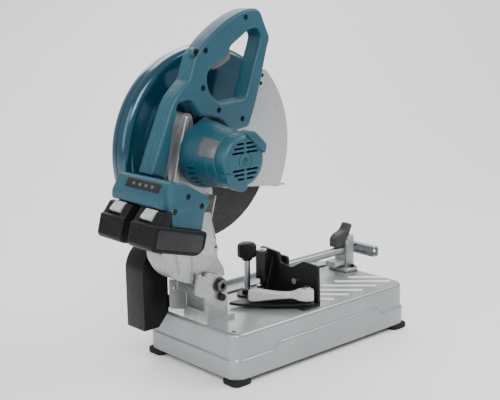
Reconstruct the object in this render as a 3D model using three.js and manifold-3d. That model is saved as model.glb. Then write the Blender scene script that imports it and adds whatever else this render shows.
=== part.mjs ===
// Battery chop saw: a steel pan base with a vise and a guide plate, and a swinging head
// with a brushless motor, a reduction gear, an abrasive wheel, guards and two battery packs.
// Millimetres. X runs from the rear edge of the pan to the front, Y from the motor side to
// the wheel side, Z up. The group is moved at the end so that the origin is the centre of
// the bounding box's underside.
import * as THREE from "three";
import { mergeVertices } from "three/addons/utils/BufferGeometryUtils.js";
import Module from "manifold-3d";

const wasm = await Module();
wasm.setup();

// ---- driving dimensions ----
const gap = 0.3;

const panLength = 467;
const panWidth = 259;
const panCornerRadius = 26;
const deckZ = 96;
const footHeight = 11;
const sheet = 3;
const joggle = 3;
const joggleLowZ = 47;
const joggleHighZ = 60;

const pivotX = 35;
const pivotZ = 166;
const pivotShaftRadius = 8;
const nearCheekY = [82, 91];
const farCheekY = [141, 150];

const wheelX = 98;
const wheelZ = 398;
const wheelY = 201;
const wheelRadius = 177.5;
const wheelThickness = 3;
const wheelBore = 25.4;

const guardRadius = 192.5;
const guardNearY = 173;
const guardSeamY = 203;
const guardFarY = 229;
const guardSheet = 2.5;
const frontGuardRadius = 196;
const frontGuardY = 168.5;
const frontGuardSheet = 1.8;

const motorX = 20;
const motorZ = 408;
const motorEndY = -12;
const motorBaseY = 94;
const gearTeeth = 40;
const pinionTeeth = 12;
const toothTipClearance = 0.2;
const gearCentreDistance = Math.hypot(wheelX - motorX, wheelZ - motorZ);
const toothModule = (2 * gearCentreDistance) / (gearTeeth + pinionTeeth);

const handleY = [92, 132];
const handleSplitY = 112;

const packTilt = THREE.MathUtils.degToRad(15);
const packLength = 112;
const packWidth = 68;
const packHeight = 42;
const packRearX = -168;
const packRearZ = 326;
const packNearY = [-5, 82];

const viseY = 156;
const viseZ = 139;
const viseScrewRadius = 9;

// ---- materials ----
function material(color, roughness, metalness) {
  return new THREE.MeshStandardMaterial({ color, roughness, metalness });
}
const finish = {
  greyPaint: material(0xb9bcc0, 0.45, 0.3),
  castPaint: material(0xc9cac8, 0.5, 0.3),
  tealPlastic: material(0x37798c, 0.5, 0),
  tealPaint: material(0x1d5a70, 0.25, 0.3),
  blackPaint: material(0x141516, 0.4, 0.2),
  blackPlastic: material(0x17181a, 0.5, 0),
  darkPlastic: material(0x3c4043, 0.55, 0),
  lightPlastic: material(0xc9cac8, 0.5, 0),
  rubber: material(0x1b1b1b, 0.9, 0),
  zinc: material(0xc4c9c8, 0.3, 0.9),
  steel: material(0xa5a8aa, 0.35, 1),
  springSteel: material(0x6b6e70, 0.4, 1),
  abrasive: material(0x37373a, 0.95, 0),
  copper: material(0xb46a35, 0.4, 0.9),
  board: material(0x1e5a34, 0.6, 0),
};

// ---- frame and helpers ----
const group = new THREE.Group();

function piece(name, geometry, look) {
  const mesh = new THREE.Mesh(geometry, look);
  mesh.name = name;
  group.add(mesh);
  return mesh;
}

// A closed shape from points [u, v] or [u, v, cornerRadius].
function rounded(points, ShapeClass = THREE.Shape) {
  const shape = new ShapeClass();
  const count = points.length;
  points.forEach(([u, v, radius = 0], index) => {
    const before = points[(index + count - 1) % count];
    const after = points[(index + 1) % count];
    const toBefore = new THREE.Vector2(before[0] - u, before[1] - v);
    const toAfter = new THREE.Vector2(after[0] - u, after[1] - v);
    const halfAngle = Math.abs(toBefore.angle() - toAfter.angle()) / 2;
    const sharpness = Math.max(1, Math.abs(1 / Math.tan(halfAngle)));
    const reach = Math.min(radius * sharpness, toBefore.length() * 0.49, toAfter.length() * 0.49);
    toBefore.setLength(reach);
    toAfter.setLength(reach);
    const start = [u + toBefore.x, v + toBefore.y];
    if (index === 0) shape.moveTo(...start);
    else shape.lineTo(...start);
    if (reach > 0) shape.quadraticCurveTo(u, v, u + toAfter.x, v + toAfter.y);
  });
  shape.closePath();
  return shape;
}

function box2(u0, u1, v0, v1, radius = 0) {
  return [[u0, v0, radius], [u1, v0, radius], [u1, v1, radius], [u0, v1, radius]];
}

function ring(u, v, radius, ShapeClass = THREE.Path) {
  const path = new ShapeClass();
  path.absarc(u, v, radius, 0, Math.PI * 2, true);
  return path;
}

// Axis maps: a shape's (u, v) and its depth become (X, Z, Y), (X, Y, Z) or (Y, Z, X).
const axisMaps = {
  y: new THREE.Matrix4().makeBasis(
    new THREE.Vector3(1, 0, 0), new THREE.Vector3(0, 0, 1), new THREE.Vector3(0, -1, 0)),
  z: new THREE.Matrix4(),
  x: new THREE.Matrix4().makeBasis(
    new THREE.Vector3(0, 1, 0), new THREE.Vector3(0, 0, 1), new THREE.Vector3(1, 0, 0)),
};

// Prism of a shape between two levels of an axis, with an optional chamfer.
function prism(shape, axis, from, to, { chamfer = 0, curveSegments = 3 } = {}) {
  const geometry = new THREE.ExtrudeGeometry(shape, {
    depth: to - from - 2 * chamfer,
    bevelEnabled: chamfer > 0,
    bevelThickness: chamfer,
    bevelSize: chamfer,
    bevelOffset: -chamfer,
    bevelSegments: 1,
    curveSegments,
  });
  geometry.translate(0, 0, chamfer);
  if (axis === "y") geometry.translate(0, 0, -(to - from));
  geometry.applyMatrix4(axisMaps[axis]);
  const shift = { x: [from, 0, 0], y: [0, from, 0], z: [0, 0, from] }[axis];
  return geometry.translate(...shift);
}

// Solid of revolution about an axis through (a, b), the other two coordinates in order.
function turned(profile, axis, centre, segments = 24) {
  const points = profile.map(([r, h]) => new THREE.Vector2(r, h));
  const geometry = new THREE.LatheGeometry(points, segments);
  if (axis === "z") geometry.rotateX(Math.PI / 2).translate(centre[0], centre[1], 0);
  if (axis === "y") geometry.translate(centre[0], 0, centre[1]);
  if (axis === "x") geometry.rotateZ(-Math.PI / 2).translate(0, centre[0], centre[1]);
  return geometry;
}

function rod(axis, centre, radius, from, to, segments = 18) {
  return turned([[0, from], [radius, from], [radius, to], [0, to]], axis, centre, segments);
}

function tube(axis, centre, outer, inner, from, to, segments = 24) {
  const profile = [[inner, from], [outer, from], [outer, to], [inner, to], [inner, from]];
  return turned(profile, axis, centre, segments);
}

function block(x0, x1, y0, y1, z0, z1) {
  const geometry = new THREE.BoxGeometry(x1 - x0, y1 - y0, z1 - z0);
  return geometry.translate((x0 + x1) / 2, (y0 + y1) / 2, (z0 + z1) / 2);
}

function hexagon(u, v, acrossFlats) {
  const radius = acrossFlats / Math.sqrt(3);
  const corners = Array.from({ length: 6 }, (_, k) => {
    const angle = (k * Math.PI) / 3;
    return [u + radius * Math.cos(angle), v + radius * Math.sin(angle)];
  });
  return rounded(corners);
}

function toSolid(geometry) {
  const bare = geometry.clone();
  bare.deleteAttribute("normal");
  bare.deleteAttribute("uv");
  const merged = mergeVertices(bare, 1e-4);
  const vertProperties = new Float32Array(merged.attributes.position.array);
  const triVerts = new Uint32Array(merged.index.array);
  return new wasm.Manifold(new wasm.Mesh({ numProp: 3, vertProperties, triVerts }));
}

function toGeometry(solid) {
  const mesh = solid.getMesh();
  const geometry = new THREE.BufferGeometry();
  geometry.setAttribute("position", new THREE.BufferAttribute(new Float32Array(mesh.vertProperties), 3));
  geometry.setIndex(new THREE.BufferAttribute(new Uint32Array(mesh.triVerts), 1));
  geometry.computeVertexNormals();
  return geometry;
}

function join(...geometries) {
  return toGeometry(geometries.map(toSolid).reduce((all, next) => all.add(next)));
}

function cut(geometry, ...tools) {
  return toGeometry(tools.map(toSolid).reduce((left, tool) => left.subtract(tool), toSolid(geometry)));
}

// Moves a geometry built level at a pack's rear top edge into the tilted battery position.
function tiltPack(geometry) {
  return geometry.rotateY(packTilt).translate(packRearX, 0, packRearZ);
}

// ---- base pan ----
function panBlock(inset, z0, z1) {
  const shape = rounded(box2(inset, panLength - inset, inset, panWidth - inset,
    panCornerRadius - inset));
  return prism(shape, "z", z0, z1);
}

function makePan() {
  const deckChamfer = 5;
  const upper = rounded(box2(joggle, panLength - joggle, joggle, panWidth - joggle, panCornerRadius));
  const upperBody = prism(upper, "z", footHeight + 20, deckZ, { chamfer: deckChamfer });
  const lowerBody = panBlock(0, footHeight, joggleLowZ);
  const longSides = prism(
    rounded([[95, joggleLowZ - 1], [388, joggleLowZ - 1], [375, joggleHighZ], [108, joggleHighZ]]), "y", 0,
      panWidth);
  const ribs = deckRibs();
  const lip = block(60, 335, panWidth - 12, panWidth - 6, deckZ - 2, deckZ + 8);
  const outside = join(upperBody, lowerBody, longSides, lip, ...ribs);
  const hollow = panBlock(sheet + joggle, footHeight - 1, deckZ - sheet);
  const slotY = [wheelY - 7, wheelY + 7];
  const slot = prism(rounded(box2(118, 440, ...slotY, 6.9)), "z", deckZ - 20, deckZ + 20);
  const holes = [[18, 24], [455, 128], [18, 235], [440, 235]].map(([x, y]) => rod("z", [x, y], 5, deckZ - 20,
    deckZ + 20, 12));
  return cut(outside, hollow, slot, ...holes);
}

// Diagonal anti-slip ribs pressed into the deck, in rows, clipped to a band of the deck.
function deckRibs() {
  const ribHeight = 2;
  const ribHalfWidth = 3.2;
  const bandY = [25, 106];
  const rowPitch = 41.5;
  const firstX = 405;
  const rows = [0, 1, 2, 3, 4, 5];
  return rows.map((row) => {
    const startX = firstX - row * rowPitch;
    const endY = row === 0 ? 48 : bandY[0];
    const startY = Math.min(bandY[1], bandY[1] + startX - 246);
    const points = [[startX + bandY[1] - startY, startY], [startX + bandY[1] - endY, endY]];
    return ribBetween(points[0], points[1], ribHalfWidth, ribHeight);
  });
}

function ribBetween([x0, y0], [x1, y1], halfWidth, height) {
  const length = Math.hypot(x1 - x0, y1 - y0);
  const shape = rounded(box2(0, length, -halfWidth, halfWidth, halfWidth));
  const geometry = prism(shape, "z", deckZ - 1, deckZ + height, { curveSegments: 3 });
  return geometry.rotateZ(Math.atan2(y1 - y0, x1 - x0)).translate(x0, y0, 0);
}

piece("base_pan", makePan(), finish.greyPaint);

// ---- rubber feet: a cup round each bottom corner of the pan ----
function makeFoot(signX, signY) {
  const x = signX > 0 ? panLength : 0;
  const y = signY > 0 ? panWidth : 0;
  const inward = (offset, sign) => (sign > 0 ? -offset : offset);
  const u = [x + inward(-2.5, signX), x + inward(40, signX)].sort((a, b) => a - b);
  const v = [y + inward(-2.5, signY), y + inward(40, signY)].sort((a, b) => a - b);
  const pad = prism(rounded(box2(...u, ...v, 13)), "z", 0, footHeight - gap,
    { chamfer: 1.5, curveSegments: 4 });
  return pad;
}
for (const [name, signX, signY] of [
  ["foot_rear_near", -1, -1], ["foot_front_near", 1, -1], ["foot_rear_far", -1, 1],
  ["foot_front_far", 1, 1]]) {
  piece(name, makeFoot(signX, signY), finish.rubber);
}

// ---- spark box behind the pan, open towards the wheel ----
const sparkRearX = -67;
const sparkFrontX = -10;
const sparkBottomZ = 78;
const sparkTopZ = 238;
const sparkY = [176, 230];
const sparkWall = 2;
function sparkBoxSide(inset) {
  const bend = 52;
  const arcSteps = 6;
  const arc = Array.from({ length: arcSteps + 1 }, (_, k) => {
    const angle = Math.PI / 2 + (k * Math.PI) / (2 * arcSteps);
    const radius = bend - inset;
    return [sparkRearX + bend + radius * Math.cos(angle), sparkTopZ - bend + radius * Math.sin(angle)];
  });
  return [
    [sparkFrontX - 24, sparkBottomZ + inset], [sparkFrontX + inset, sparkBottomZ + 26 + inset],
    [sparkFrontX + inset, sparkTopZ - inset], ...arc, [sparkRearX + inset, sparkBottomZ + inset]];
}
function makeSparkBox() {
  const outside = prism(rounded(sparkBoxSide(0)), "y", ...sparkY);
  const inside = prism(rounded(sparkBoxSide(sparkWall)), "y", sparkY[0] + sparkWall, sparkY[1] - sparkWall);
  const tabs = [sparkY[0], sparkY[1] - sparkWall].map((y) =>
    block(sparkFrontX - 4, -gap, y, y + sparkWall, sparkBottomZ + 34, deckZ + 40));
  return join(cut(outside, inside), ...tabs);
}
piece("spark_box", makeSparkBox(), finish.blackPaint);

// ---- pivot bracket: floor plate, two cheeks and a rear web, one casting ----
function makePivotBracket() {
  const cheek = rounded([
    [4, deckZ + gap, 2], [54, deckZ + gap, 2], [55, 150, 3], [50, 172, 8], [40, 182, 5], [13, 193, 2],
    [8, 192, 2], [4, 188, 2],
    [-3, 188, 2], [-6, 194, 2], [-13, 194, 2.5], [-17, 156, 4], [5, 145, 6]]);
  const cheeks = [nearCheekY, farCheekY].map((range) => prism(cheek, "y", ...range,
    { chamfer: 0.8, curveSegments: 2 }));
  const floorPlate = block(4, 70, nearCheekY[0], farCheekY[1], deckZ + gap, deckZ + 8);
  const rearWeb = prism(rounded([[4, deckZ + gap], [14, deckZ + gap], [14, 120], [4, 120]]), "y",
    nearCheekY[0] + 2, farCheekY[1] - 2);
  const tail = prism(rounded([[-30, 122, 3], [8, 112, 3], [8, 165, 3], [-30, 178, 3]]), "y", farCheekY[0] + 1,
    farCheekY[1] - 3);
  const shaftHole = rod("y", [pivotX, pivotZ], pivotShaftRadius + gap, 70, 160, 24);
  const pinHole = rod("y", [36, 144], 4 + gap, 70, 100, 16);
  const tailHole = rod("y", [-20, 160], 3.5, 135, 155, 12);
  return cut(join(...cheeks, floorPlate, rearWeb, tail), shaftHole, pinHole, tailHole);
}
piece("pivot_bracket", makePivotBracket(), finish.castPaint);

const pivotHeadY = nearCheekY[0] - gap;
piece("pivot_bolt", cut(
  turned([
    [0, pivotHeadY - 10], [10, pivotHeadY - 10], [11, pivotHeadY - 9], [11, pivotHeadY - 2.5],
    [15, pivotHeadY - 2.5],
    [15, pivotHeadY], [pivotShaftRadius, pivotHeadY], [pivotShaftRadius, farCheekY[1] + 14],
    [0, farCheekY[1] + 14]],
    "y", [pivotX, pivotZ], 20),
  prism(hexagon(pivotX, pivotZ, 10), "y", pivotHeadY - 11, pivotHeadY - 3)), finish.springSteel);
const nutY = farCheekY[1] + gap;
piece("pivot_nut", cut(
  prism(hexagon(pivotX, pivotZ, 24), "y", nutY, nutY + 11, { chamfer: 1 }),
  rod("y", [pivotX, pivotZ], pivotShaftRadius + gap, nutY - 1, nutY + 12)), finish.zinc);

// Pin with a knob that holds the head down for carrying when it is pushed in.
piece("stopper_pin", turned([
  [0, 72], [6, 72], [7, 73.5], [7, 80], [4, 80], [4, 89], [3, 90.6], [0, 90.6]], "y", [36, 144], 20),
  finish.blackPlastic);

// ---- return spring round the pivot bolt: a coil with two straight legs ----
class CoilCurve extends THREE.Curve {
  constructor(radius, turns, y0, y1) {
    super();
    Object.assign(this, { radius, turns, y0, y1 });
  }
  getPoint(t, target = new THREE.Vector3()) {
    const angle = t * this.turns * Math.PI * 2;
    const y = this.y0 + (this.y1 - this.y0) * t;
    return target.set(pivotX + this.radius * Math.cos(angle), y, pivotZ + this.radius * Math.sin(angle));
  }
}
function circleShape(radius, sides) {
  const points = Array.from({ length: sides }, (_, k) => {
    const angle = (k * Math.PI * 2) / sides;
    return [radius * Math.cos(angle), radius * Math.sin(angle)];
  });
  return rounded(points);
}
piece("return_spring", new THREE.ExtrudeGeometry(circleShape(1.8, 5), {
  steps: 55, bevelEnabled: false, extrudePath: new CoilCurve(11.6, 5.5, 95, 119) }), finish.springSteel);

// ---- guide plate: foot and upright, one black pressing, with its fasteners and levers ----
const fenceX = 229;
const fenceThickness = 5;
const footZ = deckZ + gap;
const footTopZ = footZ + 4.5;
const swingX = 212;
const swingY = 168;
const clampX = 180;
const clampY = 168;
const clampShank = 6;
const clampKnobRadius = 18.3;
const clampKnobZ = 173;
const leverPin = [208, 30];
const fenceTopScrew = [fenceX - 8.6, 165];

function makeGuidePlate() {
  const upright = rounded([
    [20, footZ, 2], [185, footZ, 2], [185, 176, 6], [180, 184, 4], [128, 180, 5], [126, 160, 4], [92, 157, 6],
    [62, 175, 4], [22, 173, 4]]);
  const wall = prism(upright, "x", fenceX, fenceX + fenceThickness);
  const foot = rounded([
    [186, 16, 4], [fenceX + 1, 16, 2], [fenceX + 1, 185, 2], [172, 188, 14], [153, 172, 14], [160, 146, 14],
    [180, 122, 16], [186, 84, 8]]);
  const floor = prism(foot, "z", footZ, footTopZ);
  const rib = prism(rounded([[fenceX - 26, footZ], [fenceX + 1, footZ], [fenceX + 1, 168],
    [fenceX - 5, 172]]), "y", 138, 143);
  const collar = rod("z", [clampX, clampY], 11, footZ, footZ + 11, 20);
  const post = block(fenceX - 16, fenceX + 1, 152, 179, 120, 178);
  const tools = [
    rod("z", [clampX, clampY], 5 + gap, footZ - 1, footZ + 30, 16),
    rod("z", [swingX, swingY], 4 + gap, footZ - 1, footZ + 30, 16),
    rod("z", [swingX - 2, 108], 4 + gap, footZ - 1, footZ + 30, 16),
    rod("z", leverPin, 4 + gap, footZ - 1, footZ + 30, 16),
    rod("x", [82, 132], 4 + gap, fenceX - 1, fenceX + 10, 16),
    rod("z", fenceTopScrew, 4 + gap, 160, 180, 16),
  ];
  return cut(join(wall, floor, rib, collar, post), ...tools);
}
piece("guide_plate", makeGuidePlate(), finish.blackPaint);

function capBolt(axis, centre, shank, head, seat, tip, headHeight, up = 1) {
  const washer = 1.5;
  return turned([
    [0, tip], [shank, tip], [shank, seat], [head + 2.5, seat], [head + 2.5, seat + up * washer],
    [head, seat + up * washer], [head, seat + up * (washer + headHeight)],
    [0, seat + up * (washer + headHeight)]],
    axis, centre, 12);
}
piece("guide_swing_bolt", capBolt("z", [swingX, swingY], 4, 6, footTopZ + gap, footZ + 0.2, 6), finish.zinc);
piece("guide_lock_bolt", capBolt("z", [swingX - 2, 108], 4, 6, footTopZ + gap, footZ + 0.2, 6), finish.zinc);
piece("fence_screw", turned([
  [0, fenceX - 5], [6, fenceX - 5], [6, fenceX - gap], [4, fenceX - gap], [4, fenceX + 4.5],
  [0, fenceX + 4.5]],
  "x", [82, 132], 16), finish.zinc);
piece("fence_top_screw", turned([
  [0, 163], [4, 163], [4, 178 + gap], [8, 178 + gap], [8, 181], [6, 182.5], [0, 182.5]],
  "z", fenceTopScrew, 16), finish.zinc);

// Tall clamp screw with a ribbed knob, in the collar on the guide plate's foot.
piece("clamp_screw", turned([
  [0, footZ + 0.3], [5, footZ + 0.3], [5, footZ + 11 + gap], [7.5, footZ + 11 + gap], [7.5, footZ + 14],
  [clampShank, footZ + 14], [clampShank, clampKnobZ + 10], [0, clampKnobZ + 10]],
  "z", [clampX, clampY], 20), finish.zinc);
function makeKnob() {
  const lobes = 12;
  const outline = Array.from({ length: lobes * 4 }, (_, k) => {
    const angle = (k * Math.PI) / (lobes * 2);
    const radius = clampKnobRadius + [0, 1, 1, 0][k % 4] * 1.1;
    return [clampX + radius * Math.cos(angle), clampY + radius * Math.sin(angle)];
  });
  const grip = prism(rounded(outline), "z", clampKnobZ, clampKnobZ + 30, { chamfer: 2 });
  const skirt = rod("z", [clampX, clampY], 10, clampKnobZ - 6, clampKnobZ + 2, 20);
  const bore = rod("z", [clampX, clampY], clampShank + gap, clampKnobZ - 8, clampKnobZ + 10 + gap, 20);
  return cut(join(grip, skirt), bore);
}
piece("clamp_knob", makeKnob(), finish.blackPlastic);

// Cast lock lever and the black blade under it, both on the pin at the foot's near end.
function leverFrame(geometry) {
  const tilt = Math.atan2(86, -84);
  return geometry.rotateZ(tilt).translate(leverPin[0], leverPin[1], 0);
}
function makeLockLever() {
  const side = rounded([
    [-13, 108, 5], [13, 108, 5], [26, 114, 9], [58, 112, 10], [98, 107, 6], [112, 107, 7], [112, 130, 8],
    [92, 131, 8],
    [56, 125, 12], [28, 125, 9], [13, 132, 6], [-13, 132, 7]]);
  const arm = prism(side, "y", -8, 8, { chamfer: 2.5 });
  const hole = rod("z", [0, 0], 4 + gap, 100, 140, 16);
  return leverFrame(cut(arm, hole));
}
piece("lock_lever", makeLockLever(), finish.castPaint);
function makeLeverBlade() {
  const blade = rounded([
    [-16, -14, 10], [40, -30, 14], [84, -42, 8], [92, -28, 8], [128, -18, 30], [152, 6, 6], [128, 16, 20],
    [70, 20, 20], [12, 16, 12], [-14, 8, 8]]);
  const geometry = prism(blade, "z", footTopZ + 0.4, footTopZ + 5.4, { chamfer: 1 });
  const post = rod("z", [100, -2], 3, footTopZ + 3, footTopZ + 5.9, 12);
  const hole = rod("z", [0, 0], 4 + gap, 100, 140, 16);
  return leverFrame(cut(join(geometry, post), hole));
}
piece("lever_blade", makeLeverBlade(), finish.blackPaint);
piece("lever_pin", turned([
  [0, footZ + 0.2], [4, footZ + 0.2], [4, 132.4], [7, 132.4], [7, 136], [0, 136]], "z", leverPin, 16),
  finish.zinc);

// ---- vise: bracket, quick-release nut lever, screw, crank and jaw ----
const bracketX = [436, 460];
const viseBoltX = 448;
const viseBoltY = [viseY - 23.8, viseY + 23.8];
function makeViseBracket() {
  const post = rounded([
    [bracketX[0], deckZ + gap, 2], [bracketX[1], deckZ + gap, 2], [bracketX[1], 172, 6], [446, 174, 6],
    [bracketX[0], 158, 3]]);
  const body = prism(post, "y", viseY - 17, viseY + 17, { chamfer: 1.2 });
  const pad = prism(rounded(box2(424, 464, viseY - 30, viseY + 30, 12)), "z", deckZ + gap, deckZ + 9,
    { chamfer: 2 });
  const rail = block(404, 437, viseY - 13, viseY + 13, 110, 120);
  const tools = [
    rod("x", [viseY, viseZ], viseScrewRadius + 0.5, 380, 480, 24),
    block(424, 457, viseY - 11, viseY + 11, viseZ, 190),
    rod("y", [443, 163], 3 + gap, 100, 210, 16),
    ...viseBoltY.map((y) => rod("z", [viseBoltX, y], 3.3, 90, 112, 12)),
  ];
  return cut(join(body, pad, rail), ...tools);
}
piece("vise_bracket", makeViseBracket(), finish.castPaint);
["near", "far"].forEach((side, index) => {
  const bolt = capBolt("z", [viseBoltX, viseBoltY[index]], 3, 3.4, deckZ + 9 + gap, deckZ + gap, 4);
  piece(`vise_bolt_${side}`, bolt, finish.blackPaint);
});

function makeNutLever() {
  const side = rounded([
    [412, 150, 3], [424, 148.6, 2], [446, 148.6, 2], [449, 160, 5], [452, 172, 6], [462, 192, 4],
    [452, 198, 4], [440, 182, 6], [420, 176, 4], [412, 168, 3]]);
  const arm = prism(side, "y", viseY - 10.5, viseY + 10.5, { chamfer: 1.5 });
  const saddle = rod("x", [viseY, viseZ], viseScrewRadius + 0.6, 400, 480, 24);
  const pin = rod("y", [443, 163], 3 + gap, 100, 210, 16);
  return cut(arm, saddle, pin);
}
piece("nut_lever", makeNutLever(), finish.darkPlastic);
piece("nut_lever_pin", rod("y", [443, 163], 3, viseY - 18, viseY + 18, 16), finish.steel);

const screwTip = 254;
const crankX = 478;
function makeViseScrew() {
  return turned([
    [0, screwTip], [5, screwTip], [5, screwTip + 8], [viseScrewRadius, screwTip + 9], [viseScrewRadius, 466],
    [6, 467], [6, crankX + 8],
    [0, crankX + 8]], "x", [viseY, viseZ], 20);
}
piece("vise_screw", makeViseScrew(), finish.zinc);

function makeCrank() {
  const half = 11;
  const length = 64;
  const web = prism(rounded(box2(-half, length, -half, half, 5)), "x", crankX + 4, crankX + 7);
  const flanges = [-half, half - 3].map((v) => block(crankX - 5, crankX + 5, -half + 4, length - 4, v,
    v + 3));
  const bore = rod("x", [0, 0], 6 + gap, crankX - 10, crankX + 20, 20);
  const endHole = rod("x", [length - 10, 0], 3.5, crankX - 10, crankX + 20, 16);
  const bar = cut(join(web, ...flanges), bore, endHole);
  return bar.rotateX(Math.PI).translate(0, viseY, viseZ);
}
piece("crank", makeCrank(), finish.zinc);

function makeJaw() {
  const faceX = 244;
  const bodyX = faceX + 5;
  const tipX = screwTip + 8;
  const face = prism(rounded(box2(viseY - 36, viseY + 36, deckZ + 3, 170, 6)), "x", faceX, faceX + 6,
    { chamfer: 1 });
  const hub = rod("x", [viseY, viseZ], 14, bodyX, tipX);
  const base = block(bodyX - 2, bodyX + 28, viseY - 30, viseY + 30, deckZ + 3, deckZ + 8);
  const web = prism(
    rounded([[bodyX - 1, deckZ + 5], [bodyX + 27, deckZ + 5], [bodyX + 13, 128], [bodyX - 1, 128]]), "y",
      viseY - 3, viseY + 3);
  const bore = rod("x", [viseY, viseZ], 5 + 2 * gap, tipX - 10, tipX + 10);
  return cut(join(face, hub, base, web), bore);
}
piece("vise_jaw", makeJaw(), finish.blackPaint);

// ---- head: main casting ----
const gearCaseRadius = 66;
const gearCaseY = [112.5, 158];
function makeHeadCasting() {
  const hub = rod("y", [pivotX, pivotZ], 20, nearCheekY[1] + 2, farCheekY[0] - 2, 32);
  const lowerShell = rounded([
    [-14, 176, 4], [-40, 184, 14], [-68, 202, 16], [-84, 232, 10], [-84, 245, 3], [-54, 244, 4],
    [-46, 300, 6], [30, 302, 8], [36, 250, 8],
    [46, 236, 8], [42, 214, 8], [58, 186, 10], [50, 162, 12], [36, 148, 10], [18, 156, 10]]);
  const lower = prism(lowerShell, "y", nearCheekY[1] + 4, farCheekY[0] - 4);
  const beam = rounded([
    [-44, 250, 6], [38, 250, 8], [34, 290, 6], [50, 340, 20], [30, 352, 8], [-6, 372, 8], [-4, 400, 6],
    [10, 440, 6], [4, 480, 8],
    [-14, 482, 8], [-24, 466, 12], [-52, 380, 12]]);
  const mid = prism(beam, "y", 110, 156);
  const ridge = rounded([[-12, 478, 3], [-2, 478, 3], [-20, 412, 6], [-40, 340, 3], [-50, 342, 3],
    [-31, 414, 6]]);
  const rib = prism(ridge, "y", 104, 112, { chamfer: 1.6, curveSegments: 2 });
  const gearCase = rod("y", [wheelX, wheelZ], gearCaseRadius, ...gearCaseY, 36);
  const motorSeat = rod("y", [motorX, motorZ], 46, motorBaseY + 4, gearCaseY[1], 32);
  const web = prism(rounded([[motorX, motorZ - 40], [wheelX, wheelZ - 58], [wheelX, wheelZ + 40],
    [motorX, motorZ + 36]]), "y", ...gearCaseY);
  const tools = [
    rod("y", [pivotX, pivotZ], pivotShaftRadius + gap, 80, 160, 24),
    tube("y", [pivotX, pivotZ], 15, pivotShaftRadius - 1, 90, 122, 28),
    rod("y", [wheelX, wheelZ], 62.6, gearCaseY[0] + 5, 170, 36),
    rod("y", [motorX, motorZ], 20.5, gearCaseY[0] + 5, 170, 24),
    rod("y", [motorX, motorZ], 14, 90, 130, 24),
    rod("y", [wheelX, wheelZ], 13, gearCaseY[0] + 2, 130, 24),
    prism(rounded([[motorX, motorZ - 15], [wheelX, wheelZ - 40], [wheelX, wheelZ + 40],
      [motorX, motorZ + 15]]), "y", gearCaseY[0] + 5, 170),
    prism(rounded([[-66, 214, 10], [20, 214, 6], [26, 240, 8], [22, 296, 6], [-36, 296, 4], [-42, 240, 8],
      [-76, 238, 4]]), "y", 104, 170, { curveSegments: 2 }),
    prism(rounded([[-38, 304, 5], [28, 304, 5], [36, 330, 10], [-20, 352, 6], [-40, 350, 5]]), "y", 120, 170,
      { curveSegments: 2 }),
    rod("y", [40, 234], 3, 80, 170, 12),
  ];
  return cut(join(hub, lower, mid, rib, gearCase, motorSeat, web), ...tools);
}
piece("head_casting", makeHeadCasting(), finish.castPaint);

// Cover of the gear case with the bearing nose that carries the guards.
function makeGearCover() {
  const y0 = gearCaseY[1] + gap;
  const plate = rod("y", [wheelX, wheelZ], gearCaseRadius, y0, y0 + 6, 40);
  const arm = prism(rounded([
    [motorX - 16, motorZ - 14, 8], [motorX - 16, motorZ + 14, 8], [wheelX, wheelZ + 44],
    [wheelX, wheelZ - 44]]), "y", y0, y0 + 6);
  const nose = rod("y", [wheelX, wheelZ], 27, y0, guardNearY - gap, 32);
  const bearingSeat = rod("y", [wheelX, wheelZ], 17.5 + 0.2, y0 - 1, 168, 32);
  const shaftHole = rod("y", [wheelX, wheelZ], 10, 150, 180, 28);
  return cut(join(plate, arm, nose), bearingSeat, shaftHole);
}
piece("gear_cover", makeGearCover(), finish.castPaint);

// ---- handle: two half shells with a D opening ----
const handleOutline = [
  [-101, 387, 4], [-48, 508, 30], [-22, 532, 8], [-12, 540, 5], [4, 581, 8], [29, 606, 12], [52, 623, 12],
  [75, 637, 12], [99, 648, 12],
  [123, 655.5, 10], [146, 657, 8], [157, 650, 8], [168, 625, 8], [179, 603, 8], [170, 579, 8], [155, 526, 10],
  [140, 481, 10],
  [124, 445, 4], [86, 441, 6], [74, 449, 8], [54, 467, 10], [22, 473, 12], [12, 472, 3], [11, 476, 3],
  [-11, 504, 5],
  [-38, 502, 8], [-46, 474, 20], [-70.5, 371, 3]];
const gripOpening = [
  [30, 552, 8], [28, 532, 8], [36, 510, 10], [56, 494, 10], [116, 497, 8], [128, 524, 8], [137, 553, 10],
  [152, 590, 8], [157, 606, 5],
  [148, 621, 5], [128, 619, 5], [84, 592, 5], [78, 577, 4], [62, 566, 4]];

function makeHandleHalf(y0, y1, cavityY0, cavityY1) {
  const shape = rounded(handleOutline);
  shape.holes.push(rounded(gripOpening, THREE.Path));
  const outside = prism(shape, "y", y0, y1, { curveSegments: 2 });
  const gripCavity = rounded([[52, 600, 4], [100, 630, 4], [134, 640, 4], [140, 632, 4], [112, 622, 4],
    [66, 592, 4], [44, 580, 4]]);
  const bodyCavity = rounded([[4, 562, 6], [20, 584, 4], [24, 530, 6], [30, 500, 6], [60, 484, 6],
    [116, 486, 6], [112, 458, 4], [70, 466, 8], [26, 484, 6], [-6, 516, 8]]);
  const tools = [gripCavity, bodyCavity].map((cavity) => prism(cavity, "y", cavityY0, cavityY1,
    { curveSegments: 2 }));
  const gearClear = rod("y", [wheelX, wheelZ], gearCaseRadius + gap, gearCaseY[0] - gap, 150, 40);
  const triggerSlot = prism(rounded([[40, 558], [56, 555], [84, 580], [98, 590], [88, 614], [46, 600]]), "y",
    handleSplitY - 8, handleSplitY + 8);
  const buttonHole = rod("y", [66, 604], 5 + gap, handleSplitY, 144, 16);
  return cut(outside, ...tools, triggerSlot, buttonHole, gearClear);
}
piece("handle_near", makeHandleHalf(handleY[0], handleSplitY - gap / 2, handleY[0] + 3.5, handleSplitY),
  finish.tealPlastic);
piece("handle_far", makeHandleHalf(handleSplitY + gap / 2, handleY[1], handleSplitY, handleY[1] - 3.5),
  finish.tealPlastic);

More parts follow.
